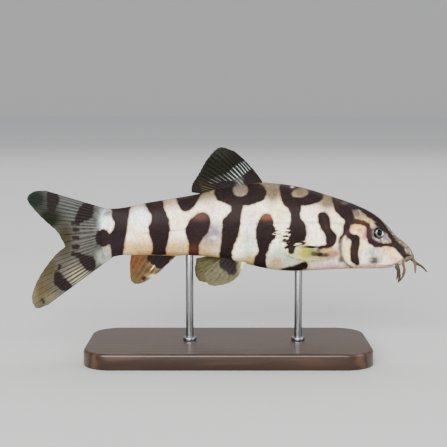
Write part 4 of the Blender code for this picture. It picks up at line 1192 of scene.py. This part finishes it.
def pick_edges(piece, rule):
    """Selects, in edit mode, just the edges whose two end heights in millimetres fit a rule."""
    bpy.ops.object.mode_set(mode="EDIT")
    bpy.ops.mesh.select_mode(type="EDGE")
    bpy.ops.mesh.select_all(action="DESELECT")
    bpy.ops.object.mode_set(mode="OBJECT")
    for edge in piece.data.edges:
        ends = sorted(piece.data.vertices[k].co.z / MM for k in edge.vertices)
        edge.select = rule(*ends)
    bpy.ops.object.mode_set(mode="EDIT")


pick_edges(base, lambda lower, upper: upper - lower > 4)
bpy.ops.mesh.bevel(offset=CORNER_ROUNDING * MM, segments=20, profile=0.5, affect="EDGES")
pick_edges(base, lambda lower, upper: lower > 4.9)
bpy.ops.mesh.bevel(offset=RIM_ROUNDING * MM, segments=5, profile=0.5, affect="EDGES")
pick_edges(base, lambda lower, upper: upper < 0.1)
bpy.ops.mesh.bevel(offset=FOOT_ROUNDING * MM, segments=2, profile=0.5, affect="EDGES")
bpy.ops.object.mode_set(mode="OBJECT")
base.data.materials.append(wood_finish)
bpy.ops.object.shade_smooth_by_angle(angle=math.radians(35))
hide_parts("stand_base")
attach(base, "root")

# Stand rods.
# Two slim rods of brushed steel, each standing on the plinth in a small turned collar and ending
# half a millimetre inside the belly.

steel_finish, nodes, links = new_material("brushed_rod_steel")
shader = shader_out(0.3)
place = object_place()
brushed = noise(stretched(place, (9000, 9000, 160)), 1.0, 3)
steel_tone = blend_colour(brushed, (*paint(150, 150, 152), 1), (*paint(198, 198, 200), 1))
links.new(steel_tone, shader.inputs["Base Color"])
links.new(spread(brushed, 0.3, 0.7, 0.22, 0.40), shader.inputs["Roughness"])
roughen(shader, brushed, 0.2, 0.00001)
shader.inputs["Metallic"].default_value = 1.0
# Where the rods stand, back from the snout, and the sizes of rods and collars, in millimetres
ROD_PLACES = (("front", 36.0), ("rear", 70.0))
ROD_RADIUS = 1.2
COLLAR_RADIUS = 2.1
COLLAR_HEIGHT = 1.1
PLINTH_TOP = 5.0
INTO_BELLY = 0.5


def turned(name, back, middle, length, radius, rounding, steps):
    """An upright steel round with softened edges, in millimetres, its middle at a height."""
    bpy.ops.object.select_all(action="DESELECT")
    bpy.ops.mesh.primitive_cylinder_add(
        vertices=48, radius=radius * MM, depth=length * MM, location=((SNOUT_X - back) * MM, 0, middle * MM),
    )
    piece = named(name)
    bpy.ops.object.transform_apply(location=True, rotation=True, scale=True)
    bpy.ops.object.mode_set(mode="EDIT")
    bpy.ops.mesh.select_all(action="SELECT")
    bpy.ops.mesh.bevel(offset=rounding * MM, segments=steps, profile=0.5, affect="EDGES")
    bpy.ops.object.mode_set(mode="OBJECT")
    piece.data.materials.append(steel_finish)
    bpy.ops.object.shade_smooth_by_angle(angle=math.radians(35))
    return piece


for name, back in ROD_PLACES:
    top_end = BELLY_Z + float(belly_height(back)) + INTO_BELLY
    length, middle = top_end - PLINTH_TOP, (top_end + PLINTH_TOP) / 2
    rod = turned(f"rod_{name}", back, middle, length, ROD_RADIUS, 0.15, 3)
    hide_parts(f"stand_rod_{name}")
    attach(rod, "root")
    middle = PLINTH_TOP + COLLAR_HEIGHT / 2
    collar = turned(f"collar_{name}", back, middle, COLLAR_HEIGHT, COLLAR_RADIUS, 0.3, 4)
    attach(collar, "root")

# Floor, light and camera.
# A pale seamless floor whose paint lightens far off, painted light that makes up for the lamps' fall-off
# there so that it meets the backdrop, a broad soft lamp in front, a weak one at the side and one high behind,
# and the photograph's near-level side view.

floor_finish, nodes, links = new_material("pale_floor")
shader = shader_out(0.9)
shader.inputs["Specular IOR Level"].default_value = 0.1
place = object_place()
faint = noise(place, 6, 3)
near_tone = blend_colour(faint, (0.42, 0.42, 0.418, 1), (0.45, 0.45, 0.448, 1))
# The floor's paint lightens with distance: painted light that makes up for the lamps' light falling off far
# away
far_painted_light = spread(length_of(place), 0.5, 3.5)
links.new(blend_colour(far_painted_light, near_tone, (0.79, 0.79, 0.79, 1)), shader.inputs["Base Color"])
bpy.ops.object.select_all(action="DESELECT")
bpy.ops.mesh.primitive_plane_add(size=40, location=(0, 0, 0))
floor = named("floor")
floor.data.materials.append(floor_finish)

world = bpy.data.worlds.new("studio")
bpy.context.scene.world = world
world.use_nodes = True
nodes, links = world.node_tree.nodes, world.node_tree.links
rise = nodes.new("ShaderNodeSeparateXYZ")
links.new(nodes.new("ShaderNodeTexCoord").outputs["Generated"], rise.inputs[0])
height_blend = spread(rise.outputs["Z"], 0.0, 1.0, smooth=False)
glow = blend_colour(height_blend, (0.45, 0.451, 0.453, 1), (0.58, 0.59, 0.61, 1))
links.new(glow, nodes["Background"].inputs[0])
nodes["Background"].inputs[1].default_value = 1.0


def lamp(name, place, aim, size, power, colour=(1, 1, 1)):
    """A soft oblong lamp that faces its aim: sizes in metres and power in watts."""
    light = bpy.data.lights.new(name, "AREA")
    light.shape = "RECTANGLE"
    light.size, light.size_y = size
    light.energy = power
    light.color = colour
    made = bpy.data.objects.new(name, light)
    made.location = place
    made.rotation_euler = (Vector(aim) - Vector(place)).to_track_quat("-Z", "Y").to_euler()
    bpy.context.scene.collection.objects.link(made)


lamp("key", (-0.40, -1.55, 0.64), (0, 0, 0.04), (1.60, 0.90), 98.0, (1, 0.985, 0.96))
lamp("fill", (1.10, -0.60, 0.45), (0, 0, 0.04), (0.80, 0.70), 14.0, (0.95, 0.97, 1))
lamp("rear", (0.10, 0.90, 1.30), (0, 0, 0.05), (1.60, 1.00), 22.0)

camera_data = bpy.data.cameras.new("camera")
camera_data.lens = 85
camera_data.sensor_width = 36
camera_data.clip_start = 0.01
camera_data.clip_end = 20
camera = bpy.data.objects.new("camera", camera_data)
bpy.context.scene.collection.objects.link(camera)
way_back = Vector((0, -math.cos(VIEW_DROP), math.sin(VIEW_DROP)))
camera.location = (Vector(VIEW_MIDDLE) + way_back * VIEW_REACH) * MM
camera.rotation_euler = (math.radians(90) - VIEW_DROP, 0, 0)
bpy.context.scene.camera = camera
